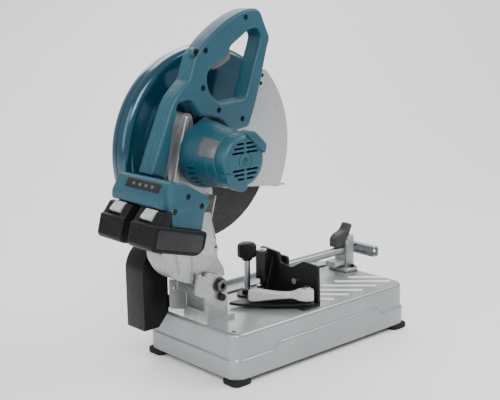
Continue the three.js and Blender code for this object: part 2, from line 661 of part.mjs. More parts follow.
// Switch trigger, its switch and the lock-off button in the far half of the handle.
piece("trigger", prism(rounded([
  [46, 562, 2], [51, 552, 3], [72, 557.5, 6], [93, 569, 3], [93, 583, 3], [84, 590, 3], [66, 584, 4],
  [50, 570, 2]]), "y",
  handleSplitY - 7, handleSplitY + 7, { chamfer: 1.5 }), finish.darkPlastic);
piece("lock_off_button", turned([
  [0, handleSplitY + 10], [5, handleSplitY + 10], [5, handleY[1] + 2.5], [3.5, handleY[1] + 4],
  [0, handleY[1] + 4]],
  "y", [66, 604], 16), finish.blackPlastic);
piece("switch_unit", block(5, 19, handleSplitY - 12, handleSplitY + 12, 522, 550), finish.blackPlastic);
piece("controller_board", block(66, 104, handleSplitY - 14, handleSplitY - 1, 470, 481), finish.board);

// ---- motor ----
function makeMotorHousing() {
  const profile = [
    [36, 14], [47, 14], [50, 30], [54.5, 60], [60, 86], [60, motorBaseY], [52, motorBaseY], [52, 84],
    [45, 30], [44.5, 20], [36, 20],
    [36, 14]];
  return turned(profile, "y", [motorX, motorZ], 32);
}
piece("motor_housing", makeMotorHousing(), finish.tealPlastic);

function makeEndCap() {
  const y1 = 14 - gap;
  const shell = turned([
    [0, motorEndY + 3], [6, motorEndY + 3], [8, motorEndY], [38, motorEndY], [44, motorEndY + 5],
    [47, y1 - 2], [47, y1], [42, y1], [38, motorEndY + 8],
    [16, motorEndY + 8], [16, motorEndY + 16], [11.3, motorEndY + 16], [11.3, motorEndY + 8],
    [0, motorEndY + 8]], "y", [motorX, motorZ], 28);
  const bumper = (angle) => prism(rounded([[-20, 38], [20, 38], [17, 51, 7], [-17, 51, 7]]), "y",
    motorEndY - 3, motorEndY + 14, { chamfer: 0.8, curveSegments: 2 })
    .rotateY(-angle).translate(motorX, 0, motorZ);
  const slots = [-30, -24, -18, 18, 24, 30].map((offset) => {
    const half = Math.sqrt(36 * 36 - offset * offset) * 0.55;
    return block(motorX + offset - 1.4, motorX + offset + 1.4, motorEndY - 1, motorEndY + 10, motorZ - half,
      motorZ + half);
  });
  return cut(join(shell, bumper(-0.75), bumper(2.6)), ...slots);
}
piece("motor_end_cap", makeEndCap(), finish.tealPlastic);

function makeStator() {
  const outer = tube("y", [motorX, motorZ], 43.5, 36, 24, 62, 36);
  const teeth = Array.from({ length: 6 }, (_, k) => block(-6, 6, 26, 60, 20.5,
    38).rotateY((k * Math.PI) / 3).translate(motorX, 0, motorZ));
  return join(outer, ...teeth);
}
piece("stator", makeStator(), finish.copper);

const pinionY = [119, 137];
function gearOutline(teeth, pitchRadius) {
  const step = (Math.PI * 2) / teeth;
  const tip = pitchRadius - toothTipClearance;
  const root = tip - 2.2;
  const corners = [[root, -0.34], [tip, -0.14], [tip, 0.14], [root, 0.34]];
  return Array.from({ length: teeth }, (_, k) => corners.map(([radius, part]) => {
    const angle = (k + part) * step;
    return [radius * Math.cos(angle), radius * Math.sin(angle)];
  })).flat();
}
const pinionPitch = (toothModule * pinionTeeth) / 2;
const gearPitch = (toothModule * gearTeeth) / 2;
function makeRotor() {
  const shaft = turned([
    [0, motorEndY + 9], [5, motorEndY + 9], [5, 20], [7, 20], [7, 26], [20, 26], [20, 60], [7, 60], [7, 92],
    [5, 92], [5, pinionY[1] + 8],
    [0, pinionY[1] + 8]], "y", [motorX, motorZ], 24);
  const pinion = prism(rounded(gearOutline(pinionTeeth, pinionPitch)), "y", ...pinionY).translate(motorX, 0,
    motorZ);
  return join(shaft, pinion);
}
piece("rotor", makeRotor(), finish.steel);
function makeFan() {
  const hub = tube("y", [motorX, motorZ], 44, 7 + gap, 82, 84, 32);
  const blades = Array.from({ length: 9 }, (_, k) => block(-1, 1, 70, 83, 22,
    43).rotateY((k * Math.PI * 2) / 9).translate(motorX, 0, motorZ));
  return join(hub, ...blades);
}
piece("cooling_fan", makeFan(), finish.blackPlastic);
piece("motor_bearing_rear", tube("y", [motorX, motorZ], 11, 5 + gap, motorEndY + 9, motorEndY + 16, 18),
  finish.steel);
piece("motor_bearing_front", tube("y", [motorX, motorZ], 13.6, 7 + gap, 99, 107, 18), finish.steel);

// ---- reduction gear, spindle and wheel ----
function makeGear() {
  const shape = rounded(gearOutline(gearTeeth, gearPitch));
  shape.holes.push(ring(0, 0, 10 + 0.2));
  return prism(shape, "y", 121, 134, { curveSegments: 8 }).translate(wheelX, 0, wheelZ);
}
piece("drive_gear", makeGear(), finish.steel);
const wheelFace = [wheelY - wheelThickness / 2, wheelY + wheelThickness / 2];
piece("spindle", turned([
  [0, 115], [6, 115], [6, 120], [10, 120], [10, 135], [8.5, 135], [8.5, guardNearY + 4],
  [wheelBore / 2, guardNearY + 4],
  [wheelBore / 2, guardNearY + 8], [wheelBore / 2 - gap, guardNearY + 8],
  [wheelBore / 2 - gap, wheelFace[1] - 0.6], [0, wheelFace[1] - 0.6]],
  "y", [wheelX, wheelZ], 20), finish.steel);
piece("spindle_bearing_inner", tube("y", [wheelX, wheelZ], 12.6, 6.4, 114.8, 119.7, 18), finish.steel);
piece("spindle_bearing_outer", tube("y", [wheelX, wheelZ], 17.4, 9, gearCaseY[1] + 1, 167.7, 20),
  finish.steel);
const flangeY = guardNearY + 8 + gap;
piece("inner_flange", turned([
  [wheelBore / 2, flangeY], [26, flangeY], [36, wheelFace[0] - 6], [36, wheelFace[0] - gap],
  [24, wheelFace[0] - gap],
  [24, wheelFace[0] - 1.5], [wheelBore / 2, wheelFace[0] - 1.5], [wheelBore / 2, flangeY]], "y",
  [wheelX, wheelZ], 32), finish.steel);
piece("cutting_wheel", tube("y", [wheelX, wheelZ], wheelRadius, wheelBore / 2, ...wheelFace, 64),
  finish.abrasive);
piece("outer_flange", turned([
  [7, wheelFace[1] + 1.5], [24, wheelFace[1] + 1.5], [24, wheelFace[1] + gap], [36, wheelFace[1] + gap],
  [36, wheelFace[1] + 4],
  [28, wheelFace[1] + 8], [7, wheelFace[1] + 8], [7, wheelFace[1] + 1.5]], "y", [wheelX, wheelZ], 32),
  finish.steel);
const boltSeat = wheelFace[1] + 8 + gap;
piece("wheel_bolt", join(
  rod("y", [wheelX, wheelZ], 12, boltSeat, boltSeat + 2.5, 24),
  prism(hexagon(wheelX, wheelZ, 17), "y", boltSeat + 2, boltSeat + 9, { chamfer: 0.8 }),
  rod("y", [wheelX, wheelZ], 6, wheelFace[1], boltSeat + 1, 20)), finish.springSteel);

// ---- wheel guard: two pressed shells that meet at a seam, open below and in front ----
const guardStart = 47;
const guardEnd = 222;
function sector(radius, startDeg, endDeg, steps) {
  return Array.from({ length: steps + 1 }, (_, k) => {
    const angle = THREE.MathUtils.degToRad(startDeg + ((endDeg - startDeg) * k) / steps);
    return [wheelX + radius * Math.cos(angle), wheelZ + radius * Math.sin(angle)];
  });
}
const guardChordPoint = [wheelX + 46, wheelZ - 62];
const guardMidPoint = [wheelX - 40, wheelZ - 70];
function guardBlank(radius, y0, y1, options, startDeg = guardStart, endDeg = guardEnd) {
  const points = [...sector(radius, startDeg, endDeg, 30), guardMidPoint, guardChordPoint];
  return prism(rounded(points), "y", y0, y1, options);
}
function makeGuardNear() {
  const outside = join(
    guardBlank(guardRadius, guardNearY, guardNearY + 12, { chamfer: 4 }),
    guardBlank(guardRadius, guardNearY + 8, guardSeamY - gap));
  const hollow = guardBlank(guardRadius - guardSheet, guardNearY + guardSheet, guardFarY, {}, guardStart - 8,
    guardEnd + 8);
  const boreTool = rod("y", [wheelX, wheelZ], 22, 160, guardFarY, 32);
  const hollowLower = block(wheelX - 260, wheelX + 260, guardNearY + guardSheet, guardFarY, wheelZ - 260,
    wheelZ - 60);
  return cut(outside, hollow, boreTool, hollowLower);
}
piece("guard_near_shell", makeGuardNear(), finish.tealPaint);
function makeGuardFar() {
  const outside = join(
    guardBlank(guardRadius + 0.8, guardFarY - 12, guardFarY, { chamfer: 3 }),
    guardBlank(guardRadius + 0.8, guardSeamY, guardFarY - 8));
  const hollow = guardBlank(guardRadius - guardSheet, guardSeamY - 1, guardFarY - guardSheet, {},
    guardStart - 8, guardEnd + 8);
  const hollowLower = block(wheelX - 260, wheelX + 260, guardSeamY - 1, guardFarY - guardSheet, wheelZ - 260,
    wheelZ - 60);
  return cut(outside, hollow, hollowLower);
}
piece("guard_far_shell", makeGuardFar(), finish.tealPaint);

// Front guard: a pressed sector that turns about the bearing nose.
const frontStart = -29;
const frontEnd = 45;
function makeFrontGuard() {
  const y0 = frontGuardY;
  const rimY = guardFarY + 3;
  const plate = prism(rounded([
    ...sector(frontGuardRadius, frontStart, frontEnd, 16), [wheelX + 22, wheelZ + 30],
    [wheelX + 10, wheelZ - 34],
    [wheelX + 84, wheelZ - 84, 10]]), "y", y0, y0 + frontGuardSheet);
  const hub = rod("y", [wheelX, wheelZ], 38, y0, y0 + frontGuardSheet, 32);
  const rimSteps = 16;
  const rimOutline = [
    ...sector(frontGuardRadius, frontStart, frontEnd, rimSteps),
    ...sector(frontGuardRadius - frontGuardSheet, frontStart, frontEnd, rimSteps).reverse()];
  const rim = prism(rounded(rimOutline), "y", y0, rimY);
  const boreTool = rod("y", [wheelX, wheelZ], 27.5, 160, 180, 32);
  const screwHole = rod("y", [wheelX + 119, wheelZ + 114], 3, 160, 180, 12);
  return cut(join(plate, hub, rim), boreTool, screwHole);
}
piece("front_guard", makeFrontGuard(), finish.castPaint);

// ---- battery mount and packs ----
// Pack outline along its length: u from the rear face, v up from the side panel's top edge.
const packHumpInset = 12;
const packBodyTop = 1;
const packHumpTop = 24;

function packTool(y0, margin) {
  const body = block(-60, packLength + margin, y0 - margin, y0 + packWidth + margin, -140,
    packBodyTop + margin);
  const hump = block(
    20, packLength - 6 + margin, y0 + packHumpInset - margin, y0 + packWidth - packHumpInset + margin, -10,
      packHumpTop + margin);
  const heel = block(-60, 32 + margin, y0 - 40, y0 + packWidth + margin, -10, packHumpTop + 2 + margin);
  return [body, hump, heel].map(tiltPack);
}

function makeBatteryMount() {
  const side = rounded([
    [-146, 348, 3], [-145, 362, 3], [-126, 391, 6], [-96, 383, 4], [-53, 357, 6], [-46, 346, 6],
    [-58, 332, 4], [-66, 298, 4], [-128, 316, 2],
    [-132, 338, 3]]);
  const outside = prism(side, "y", 2, 148, { chamfer: 2, curveSegments: 3 });
  const castingClear = block(-56, 0, 103, 170, 260, 420);
  const chamber = prism(rounded([[-128, 358, 4], [-120, 378, 4], [-98, 374, 4], [-64, 354, 4],
    [-70, 340, 4]]), "y", 20, 144, { curveSegments: 2 });
  const contactSlots = packNearY.map((y) => block(-96, -80, y + 24, y + 44, 320, 362));
  return cut(outside, castingClear, chamber, ...contactSlots,
    ...packNearY.flatMap((y) => packTool(y, gap + 0.2)));
}
piece("battery_mount", makeBatteryMount(), finish.tealPlastic);

function makePack(y0) {
  const low = rounded([
    [0, packBodyTop - 3, 4], [0, -packHeight + 6, 5], [6, -packHeight, 4], [packLength - 14, -packHeight, 6],
    [packLength, -packHeight + 12, 7], [packLength, packBodyTop - 3, 4], [packLength - 4, packBodyTop, 2],
    [4, packBodyTop, 2]]);
  const body = prism(low, "y", y0, y0 + packWidth, { chamfer: 2, curveSegments: 3 });
  const heel = prism(rounded([[1, -3], [13, packHumpTop - 2, 4], [18, packHumpTop, 3], [31, packHumpTop, 2],
    [31, -3]]),
    "y", y0 + 2, y0 + packWidth - 2, { curveSegments: 3 });
  const hump = block(30, packLength - 6, y0 + packHumpInset, y0 + packWidth - packHumpInset, -3, packHumpTop);
  const well = prism(rounded([[-4, 12], [16, 32], [26, 22], [6, 0]]), "y", y0 + packWidth / 2 - 15,
    y0 + packWidth / 2 + 15);
  return tiltPack(cut(join(body, heel, hump), well));
}
function makeRelease(y0) {
  const button = prism(rounded([[2.5, 9, 2], [13.5, 25, 2], [19.5, 22.5], [7.6, 5.6]]), "y",
    y0 + packWidth / 2 - 14, y0 + packWidth / 2 + 14);
  return tiltPack(button);
}
["near", "far"].forEach((side, index) => {
  piece(`battery_pack_${side}`, makePack(packNearY[index]), finish.blackPlastic);
  piece(`release_button_${side}`, makeRelease(packNearY[index]), finish.lightPlastic);
});

// ---- origin at the centre of the box's underside ----
group.updateMatrixWorld(true);
const bounds = new THREE.Box3().setFromObject(group);
group.position.set(-(bounds.min.x + bounds.max.x) / 2, -(bounds.min.y + bounds.max.y) / 2, -bounds.min.z);

export default group;
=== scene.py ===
import math

import bmesh
import bpy
from mathutils import Matrix, Vector


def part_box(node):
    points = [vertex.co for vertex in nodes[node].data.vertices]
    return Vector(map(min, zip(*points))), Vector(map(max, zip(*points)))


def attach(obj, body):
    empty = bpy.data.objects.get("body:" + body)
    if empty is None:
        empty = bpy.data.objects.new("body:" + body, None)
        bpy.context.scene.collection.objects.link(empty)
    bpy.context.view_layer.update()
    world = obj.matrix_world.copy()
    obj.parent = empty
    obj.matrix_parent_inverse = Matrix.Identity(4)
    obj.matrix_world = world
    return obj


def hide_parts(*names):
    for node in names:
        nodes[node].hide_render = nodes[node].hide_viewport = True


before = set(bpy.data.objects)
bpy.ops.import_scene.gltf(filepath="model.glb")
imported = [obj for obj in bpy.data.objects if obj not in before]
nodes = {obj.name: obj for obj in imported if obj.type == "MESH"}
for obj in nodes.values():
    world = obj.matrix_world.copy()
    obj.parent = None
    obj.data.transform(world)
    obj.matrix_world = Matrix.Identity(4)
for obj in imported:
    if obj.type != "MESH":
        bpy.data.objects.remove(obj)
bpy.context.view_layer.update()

# Pieces are laid out in millimetres from the pan's rear, motor-side corner at floor level.
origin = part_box("base_pan")[0] - Vector((0, 0, 0.011))


def at(x, y, z):
    return Vector((x, y, z)) * 0.001 + origin


print("frame loaded")

# Materials: one shared group gives colour mottle, roughness spread and grain height.


def addSocket(group, name, direction, kind, value=None):
    item = group.interface.new_socket(name=name, in_out=direction, socket_type=kind)
    if value is not None:
        item.default_value = value
    return item


def buildSurfaceGroup():
    group = bpy.data.node_groups.new("surfaceDetail", "ShaderNodeTree")
    addSocket(group, "Base Color", "INPUT", "NodeSocketColor", (0.5, 0.5, 0.5, 1))
    addSocket(group, "Tint Color", "INPUT", "NodeSocketColor", (0.4, 0.4, 0.4, 1))
    addSocket(group, "Mottle Scale", "INPUT", "NodeSocketFloat", 14.0)
    addSocket(group, "Grain Scale", "INPUT", "NodeSocketFloat", 1200.0)
    addSocket(group, "Roughness Low", "INPUT", "NodeSocketFloat", 0.4)
    addSocket(group, "Roughness High", "INPUT", "NodeSocketFloat", 0.5)
    addSocket(group, "Stretch", "INPUT", "NodeSocketVector", (1, 1, 1))
    addSocket(group, "Color", "OUTPUT", "NodeSocketColor")
    addSocket(group, "Roughness", "OUTPUT", "NodeSocketFloat")
    addSocket(group, "Height", "OUTPUT", "NodeSocketFloat")
    tree = group.nodes
    links = group.links
    inputs = tree.new("NodeGroupInput")
    outputs = tree.new("NodeGroupOutput")
    coords = tree.new("ShaderNodeTexCoord")
    mapping = tree.new("ShaderNodeMapping")
    links.new(coords.outputs["Object"], mapping.inputs["Vector"])
    links.new(inputs.outputs["Stretch"], mapping.inputs["Scale"])
    mottle = tree.new("ShaderNodeTexNoise")
    mottle.inputs["Detail"].default_value = 6
    mottle.inputs["Roughness"].default_value = 0.62
    links.new(coords.outputs["Object"], mottle.inputs["Vector"])
    links.new(inputs.outputs["Mottle Scale"], mottle.inputs["Scale"])
    grain = tree.new("ShaderNodeTexNoise")
    grain.inputs["Detail"].default_value = 3
    grain.inputs["Roughness"].default_value = 0.55
    links.new(mapping.outputs["Vector"], grain.inputs["Vector"])
    links.new(inputs.outputs["Grain Scale"], grain.inputs["Scale"])
    spread = tree.new("ShaderNodeMapRange")
    spread.inputs["From Min"].default_value = 0.3
    spread.inputs["From Max"].default_value = 0.7
    links.new(mottle.outputs["Fac"], spread.inputs["Value"])
    blend = tree.new("ShaderNodeMix")
    blend.data_type = "RGBA"
    links.new(spread.outputs["Result"], blend.inputs["Factor"])
    links.new(inputs.outputs["Base Color"], blend.inputs["A"])
    links.new(inputs.outputs["Tint Color"], blend.inputs["B"])
    rough = tree.new("ShaderNodeMapRange")
    rough.inputs["From Min"].default_value = 0.3
    rough.inputs["From Max"].default_value = 0.7
    mixed = tree.new("ShaderNodeMath")
    mixed.operation = "MULTIPLY_ADD"
    mixed.inputs[1].default_value = 0.6
    half = tree.new("ShaderNodeMath")
    half.operation = "MULTIPLY"
    half.inputs[1].default_value = 0.4
    links.new(mottle.outputs["Fac"], half.inputs[0])
    links.new(grain.outputs["Fac"], mixed.inputs[0])
    links.new(half.outputs[0], mixed.inputs[2])
    links.new(mixed.outputs[0], rough.inputs["Value"])
    links.new(inputs.outputs["Roughness Low"], rough.inputs["To Min"])
    links.new(inputs.outputs["Roughness High"], rough.inputs["To Max"])
    links.new(blend.outputs["Result"], outputs.inputs["Color"])
    links.new(rough.outputs["Result"], outputs.inputs["Roughness"])
    links.new(grain.outputs["Fac"], outputs.inputs["Height"])
    return group


surfaceGroup = buildSurfaceGroup()


# An edge mask from the bevelled normal: worn, lighter paint on sharp edges.
def buildEdgeGroup():
    group = bpy.data.node_groups.new("edgeWear", "ShaderNodeTree")
    addSocket(group, "Color", "INPUT", "NodeSocketColor", (0.5, 0.5, 0.5, 1))
    addSocket(group, "Worn Color", "INPUT", "NodeSocketColor", (0.6, 0.6, 0.6, 1))
    addSocket(group, "Amount", "INPUT", "NodeSocketFloat", 0.5)
    addSocket(group, "Color", "OUTPUT", "NodeSocketColor")
    tree = group.nodes
    links = group.links
    inputs = tree.new("NodeGroupInput")
    outputs = tree.new("NodeGroupOutput")
    geometry = tree.new("ShaderNodeNewGeometry")
    point = tree.new("ShaderNodeMapRange")
    point.inputs["From Min"].default_value = 0.52
    point.inputs["From Max"].default_value = 0.62
    links.new(geometry.outputs["Pointiness"], point.inputs["Value"])
    coords = tree.new("ShaderNodeTexCoord")
    breakup = tree.new("ShaderNodeTexNoise")
    breakup.inputs["Scale"].default_value = 160
    links.new(coords.outputs["Object"], breakup.inputs["Vector"])
    product = tree.new("ShaderNodeMath")
    product.operation = "MULTIPLY"
    links.new(point.outputs["Result"], product.inputs[0])
    links.new(breakup.outputs["Fac"], product.inputs[1])
    scaled = tree.new("ShaderNodeMath")
    scaled.operation = "MULTIPLY"
    links.new(product.outputs[0], scaled.inputs[0])
    links.new(inputs.outputs["Amount"], scaled.inputs[1])
    blend = tree.new("ShaderNodeMix")
    blend.data_type = "RGBA"
    links.new(scaled.outputs[0], blend.inputs["Factor"])
    links.new(inputs.outputs["Color"], blend.inputs["A"])
    links.new(inputs.outputs["Worn Color"], blend.inputs["B"])
    links.new(blend.outputs["Result"], outputs.inputs["Color"])
    return group


edgeGroup = buildEdgeGroup()

finishDefaults = dict(metallic=0.0, coat=0.0, gloss=0.5)
finishes = {
    "grey_paint": dict(
        base=(0.33, 0.345, 0.35), tint=(0.27, 0.285, 0.29), mottle=6, grain=420, low=0.26, high=0.4,
        metallic=0.55, coat=0.2, bump=0.07, worn=(0.6, 0.62, 0.62), wear=0.6),
    # Deck ribs: the near-white base and tint are a painted highlight; the ribs are really the pan's own grey
    # paint catching light on their raised tops.
    "rib_paint": dict(
        base=(0.9, 0.9, 0.89), tint=(0.82, 0.82, 0.81), mottle=20, grain=420, low=0.25, high=0.36, coat=0.2,
        bump=0.05, worn=(0.8, 0.8, 0.8), wear=0.6),
    "cast_paint": dict(
        base=(0.33, 0.335, 0.335), tint=(0.26, 0.265, 0.27), mottle=24, grain=700, low=0.34, high=0.52,
        metallic=0.75, bump=0.3, worn=(0.7, 0.7, 0.7), wear=0.8),
    "lever_paint": dict(
        base=(0.5, 0.5, 0.49), tint=(0.43, 0.43, 0.42), mottle=30, grain=900, low=0.4, high=0.55,
        metallic=0.3, bump=0.4, worn=(0.65, 0.65, 0.65), wear=0.8, gloss=0.4),
    "sheet_paint": dict(
        base=(0.4, 0.41, 0.42), tint=(0.38, 0.39, 0.4), mottle=9, grain=380, low=0.24, high=0.34,
        metallic=0.5, coat=0.25, bump=0.01, worn=(0.7, 0.7, 0.7), wear=0.2),
    "teal_plastic": dict(
        base=(0.0085, 0.064, 0.092), tint=(0.0065, 0.052, 0.077), mottle=12, grain=1500, low=0.34, high=0.5,
        bump=0.24, worn=(0.03, 0.13, 0.17), wear=0.6, gloss=0.4),
    "teal_paint": dict(
        base=(0.006, 0.058, 0.095), tint=(0.0045, 0.045, 0.078), mottle=7, grain=330, low=0.12, high=0.2,
        metallic=0.5, coat=0.5, bump=0.05, worn=(0.04, 0.16, 0.22), wear=0.12),
    "black_paint": dict(
        base=(0.0045, 0.0045, 0.005), tint=(0.008, 0.008, 0.009), mottle=15, grain=600, low=0.26, high=0.4,
        coat=0.08, bump=0.1, worn=(0.05, 0.05, 0.05), wear=0.6, gloss=0.14),
    "black_plastic": dict(
        base=(0.005, 0.005, 0.0055), tint=(0.009, 0.009, 0.01), mottle=20, grain=1400, low=0.3, high=0.46,
        bump=0.25, worn=(0.04, 0.04, 0.04), wear=0.5, gloss=0.14),
    "panel_plastic": dict(
        base=(0.011, 0.0115, 0.012), tint=(0.016, 0.0165, 0.017), mottle=16, grain=900, low=0.22, high=0.34,
        coat=0.15, bump=0.08, worn=(0.07, 0.07, 0.07), wear=0.4, gloss=0.2),
    "dark_plastic": dict(
        base=(0.03, 0.031, 0.03), tint=(0.045, 0.045, 0.043), mottle=20, grain=1300, low=0.4, high=0.55,
        bump=0.25, worn=(0.1, 0.1, 0.1), wear=0.5, gloss=0.2),
    "trigger_plastic": dict(
        base=(0.12, 0.1, 0.08), tint=(0.11, 0.095, 0.075), mottle=20, grain=1300, low=0.4, high=0.55,
        bump=0.25, worn=(0.15, 0.14, 0.12), wear=0.5, gloss=0.4),
    "light_plastic": dict(
        base=(0.42, 0.42, 0.42), tint=(0.36, 0.36, 0.36), mottle=25, grain=1300, low=0.4, high=0.52,
        bump=0.2, worn=(0.5, 0.5, 0.5), wear=0.4, gloss=0.4),
    "label_grey": dict(
        base=(0.11, 0.115, 0.12), tint=(0.085, 0.09, 0.095), mottle=30, grain=900, low=0.26, high=0.36,
        metallic=0.3, coat=0.2, bump=0.05, worn=(0.25, 0.25, 0.25), wear=0.3, gloss=0.4),
    "rubber": dict(
        base=(0.007, 0.007, 0.007), tint=(0.014, 0.014, 0.013), mottle=40, grain=1100, low=0.6, high=0.8,
        bump=0.35, worn=(0.04, 0.04, 0.04), wear=0.5, gloss=0.14),
    "zinc": dict(
        base=(0.42, 0.45, 0.46), tint=(0.36, 0.385, 0.4), mottle=40, grain=500, low=0.26, high=0.34,
        metallic=1.0, bump=0.015, worn=(0.8, 0.8, 0.8), wear=0.4),
    "steel": dict(
        base=(0.45, 0.45, 0.46), tint=(0.36, 0.36, 0.37), mottle=30, grain=600, low=0.22, high=0.4,
        metallic=1.0, bump=0.1, worn=(0.7, 0.7, 0.7), wear=0.4),
    "dark_steel": dict(
        base=(0.05, 0.05, 0.053), tint=(0.08, 0.08, 0.083), mottle=40, grain=700, low=0.26, high=0.4,
        metallic=0.9, bump=0.12, worn=(0.3, 0.3, 0.3), wear=0.6),
    "winding": dict(
        base=(0.4, 0.15, 0.05), tint=(0.28, 0.1, 0.04), mottle=60, grain=900, low=0.3, high=0.45,
        metallic=0.7, coat=0.2, bump=0.5, worn=(0.5, 0.2, 0.1), wear=0.3),
    "board": dict(
        base=(0.01, 0.12, 0.05), tint=(0.015, 0.09, 0.04), mottle=80, grain=900, low=0.3, high=0.4,
        coat=0.3, bump=0.1, worn=(0.1, 0.2, 0.1), wear=0.2)}


def buildMaterial(name, values):
    surface = bpy.data.materials.new(name)
    surface.use_nodes = True
    tree = surface.node_tree.nodes
    links = surface.node_tree.links
    shader = tree["Principled BSDF"]
    detail = tree.new("ShaderNodeGroup")
    detail.node_tree = surfaceGroup
    detail.inputs["Base Color"].default_value = (*values["base"], 1)
    detail.inputs["Tint Color"].default_value = (*values["tint"], 1)
    detail.inputs["Mottle Scale"].default_value = values["mottle"]
    detail.inputs["Grain Scale"].default_value = values["grain"]
    detail.inputs["Roughness Low"].default_value = values["low"]
    detail.inputs["Roughness High"].default_value = values["high"]
    edge = tree.new("ShaderNodeGroup")
    edge.node_tree = edgeGroup
    edge.inputs["Worn Color"].default_value = (*values["worn"], 1)
    edge.inputs["Amount"].default_value = values["wear"]
    links.new(detail.outputs["Color"], edge.inputs["Color"])
    links.new(edge.outputs["Color"], shader.inputs["Base Color"])
    links.new(detail.outputs["Roughness"], shader.inputs["Roughness"])
    bump = tree.new("ShaderNodeBump")
    bump.inputs["Strength"].default_value = values["bump"]
    bump.inputs["Distance"].default_value = 0.0006
    links.new(detail.outputs["Height"], bump.inputs["Height"])
    links.new(bump.outputs["Normal"], shader.inputs["Normal"])
    shader.inputs["Metallic"].default_value = values["metallic"]
    shader.inputs["Coat Weight"].default_value = values["coat"]
    shader.inputs["Coat Roughness"].default_value = 0.15
    shader.inputs["Specular IOR Level"].default_value = values["gloss"]
    return surface


materials = {name: buildMaterial(name, {**finishDefaults, **values}) for name, values in finishes.items()}


# Bonded abrasive: dark grit with light sparkles and pits.
def buildAbrasive():
    surface = buildMaterial("abrasive", dict(
        base=(0.02, 0.02, 0.021), tint=(0.034, 0.033, 0.033), mottle=120, grain=1100, low=0.7, high=0.9,
        metallic=0.0, coat=0.0, bump=0.9, worn=(0.07, 0.07, 0.07), wear=0.4, gloss=0.4))
    tree = surface.node_tree.nodes
    links = surface.node_tree.links
    coords = tree.new("ShaderNodeTexCoord")
    cells = tree.new("ShaderNodeTexVoronoi")
    cells.inputs["Scale"].default_value = 1250
    links.new(coords.outputs["Object"], cells.inputs["Vector"])
    pick = tree.new("ShaderNodeSeparateColor")
    links.new(cells.outputs["Color"], pick.inputs["Color"])
    chosen = tree.new("ShaderNodeMath")
    chosen.operation = "GREATER_THAN"
    chosen.inputs[1].default_value = 0.86
    links.new(pick.outputs["Red"], chosen.inputs[0])
    shader = tree["Principled BSDF"]
    source = shader.inputs["Base Color"].links[0].from_socket
    blend = tree.new("ShaderNodeMix")
    blend.data_type = "RGBA"
    blend.inputs["B"].default_value = (0.085, 0.085, 0.088, 1)
    links.new(chosen.outputs[0], blend.inputs["Factor"])
    links.new(source, blend.inputs["A"])
    links.new(blend.outputs["Result"], shader.inputs["Base Color"])
    return surface


materials["abrasive"] = buildAbrasive()
print("materials built")

# Mesh helpers.


def finishPiece(obj, body, surface, replaced=(), smoothDegrees=35):
    obj.data.materials.clear()
    obj.data.materials.append(materials[surface])
    obj.data.shade_smooth()
    obj.data.set_sharp_from_angle(angle=math.radians(smoothDegrees))
    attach(obj, body)
    if replaced:
        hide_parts(*replaced)
    return obj


def meshObject(name, bm):
    mesh = bpy.data.meshes.new(name)
    bmesh.ops.recalc_face_normals(bm, faces=bm.faces)
    bm.to_mesh(mesh)
    bm.free()
    obj = bpy.data.objects.new(name, mesh)
    bpy.context.scene.collection.objects.link(obj)
    return obj


def bake(obj):
    depsgraph = bpy.context.evaluated_depsgraph_get()
    mesh = bpy.data.meshes.new_from_object(obj.evaluated_get(depsgraph))
    name = obj.name
    bpy.data.objects.remove(obj)
    fresh = bpy.data.objects.new(name, mesh)
    bpy.context.scene.collection.objects.link(fresh)
    return fresh


def roundedLoop(points, steps=6):
    loop = []
    count = len(points)
    for index, point in enumerate(points):
        radius = point[2] if len(point) > 2 else 0
        corner = Vector(point[:2])
        before = Vector(points[index - 1][:2]) - corner
        after = Vector(points[(index + 1) % count][:2]) - corner
        if radius == 0:
            loop.append(tuple(corner))
            continue
        turn = before.angle(after) / 2
        reach = min(radius * max(1, 1 / math.tan(turn)), before.length * 0.49, after.length * 0.49)
        start = corner + before.normalized() * reach
        end = corner + after.normalized() * reach
        for k in range(steps + 1):
            t = k / steps
            loop.append(tuple(start * (1 - t) ** 2 + corner * 2 * t * (1 - t) + end * t ** 2))
    return loop


def circleLoop(u, v, radius, sides=32):
    return [(u + radius * math.cos(2 * math.pi * k / sides), v + radius * math.sin(2 * math.pi * k / sides))
            for k in range(sides)]


def boxLoop(u0, u1, v0, v1, radius=0):
    return [(u0, v0, radius), (u1, v0, radius), (u1, v1, radius), (u0, v1, radius)]


axisMatrices = {
    "y": Matrix(((1, 0, 0), (0, 0, -1), (0, 1, 0))).to_4x4(),
    "z": Matrix.Identity(4),
    "x": Matrix(((0, 0, 1), (1, 0, 0), (0, 1, 0))).to_4x4(),
}


def boxCorners(u0, u1, v0, v1):
    return [(u0, v0), (u1, v0), (u1, v1), (u0, v1)]


# A plate with rounded edges from flat loops, between two levels of an axis, in millimetres.
def slab(name, loops, axis, low, high, edge=1.0, edgeSteps=3):
    curve = bpy.data.curves.new(name, "CURVE")
    curve.dimensions = "2D"
    curve.fill_mode = "BOTH"
    curve.extrude = (high - low) / 2 - edge
    curve.bevel_depth = edge
    curve.bevel_resolution = edgeSteps
    curve.offset = -edge
    for loop in loops:
        spline = curve.splines.new("POLY")
        spline.points.add(len(loop) - 1)
        for point, (u, v) in zip(spline.points, loop):
            point.co = (u, v, 0, 1)
        spline.use_cyclic_u = True
    obj = bpy.data.objects.new(name, curve)
    bpy.context.scene.collection.objects.link(obj)
    obj = bake(obj)
    middle = (low + high) / 2
    centre = {"x": (middle, 0, 0), "y": (0, middle, 0), "z": (0, 0, middle)}[axis]
    obj.data.transform(axisMatrices[axis])
    obj.data.transform(Matrix.Translation(Vector(centre)))
    bm = bmesh.new()
    bm.from_mesh(obj.data)
    bmesh.ops.remove_doubles(bm, verts=bm.verts, dist=0.01)
    bmesh.ops.recalc_face_normals(bm, faces=bm.faces)
    bm.to_mesh(obj.data)
    bm.free()
    return obj


def toFrame(obj, matrix=None):
    if matrix is not None:
        obj.data.transform(matrix)
    obj.data.transform(Matrix.Translation(origin) @ Matrix.Scale(0.001, 4))
    return obj


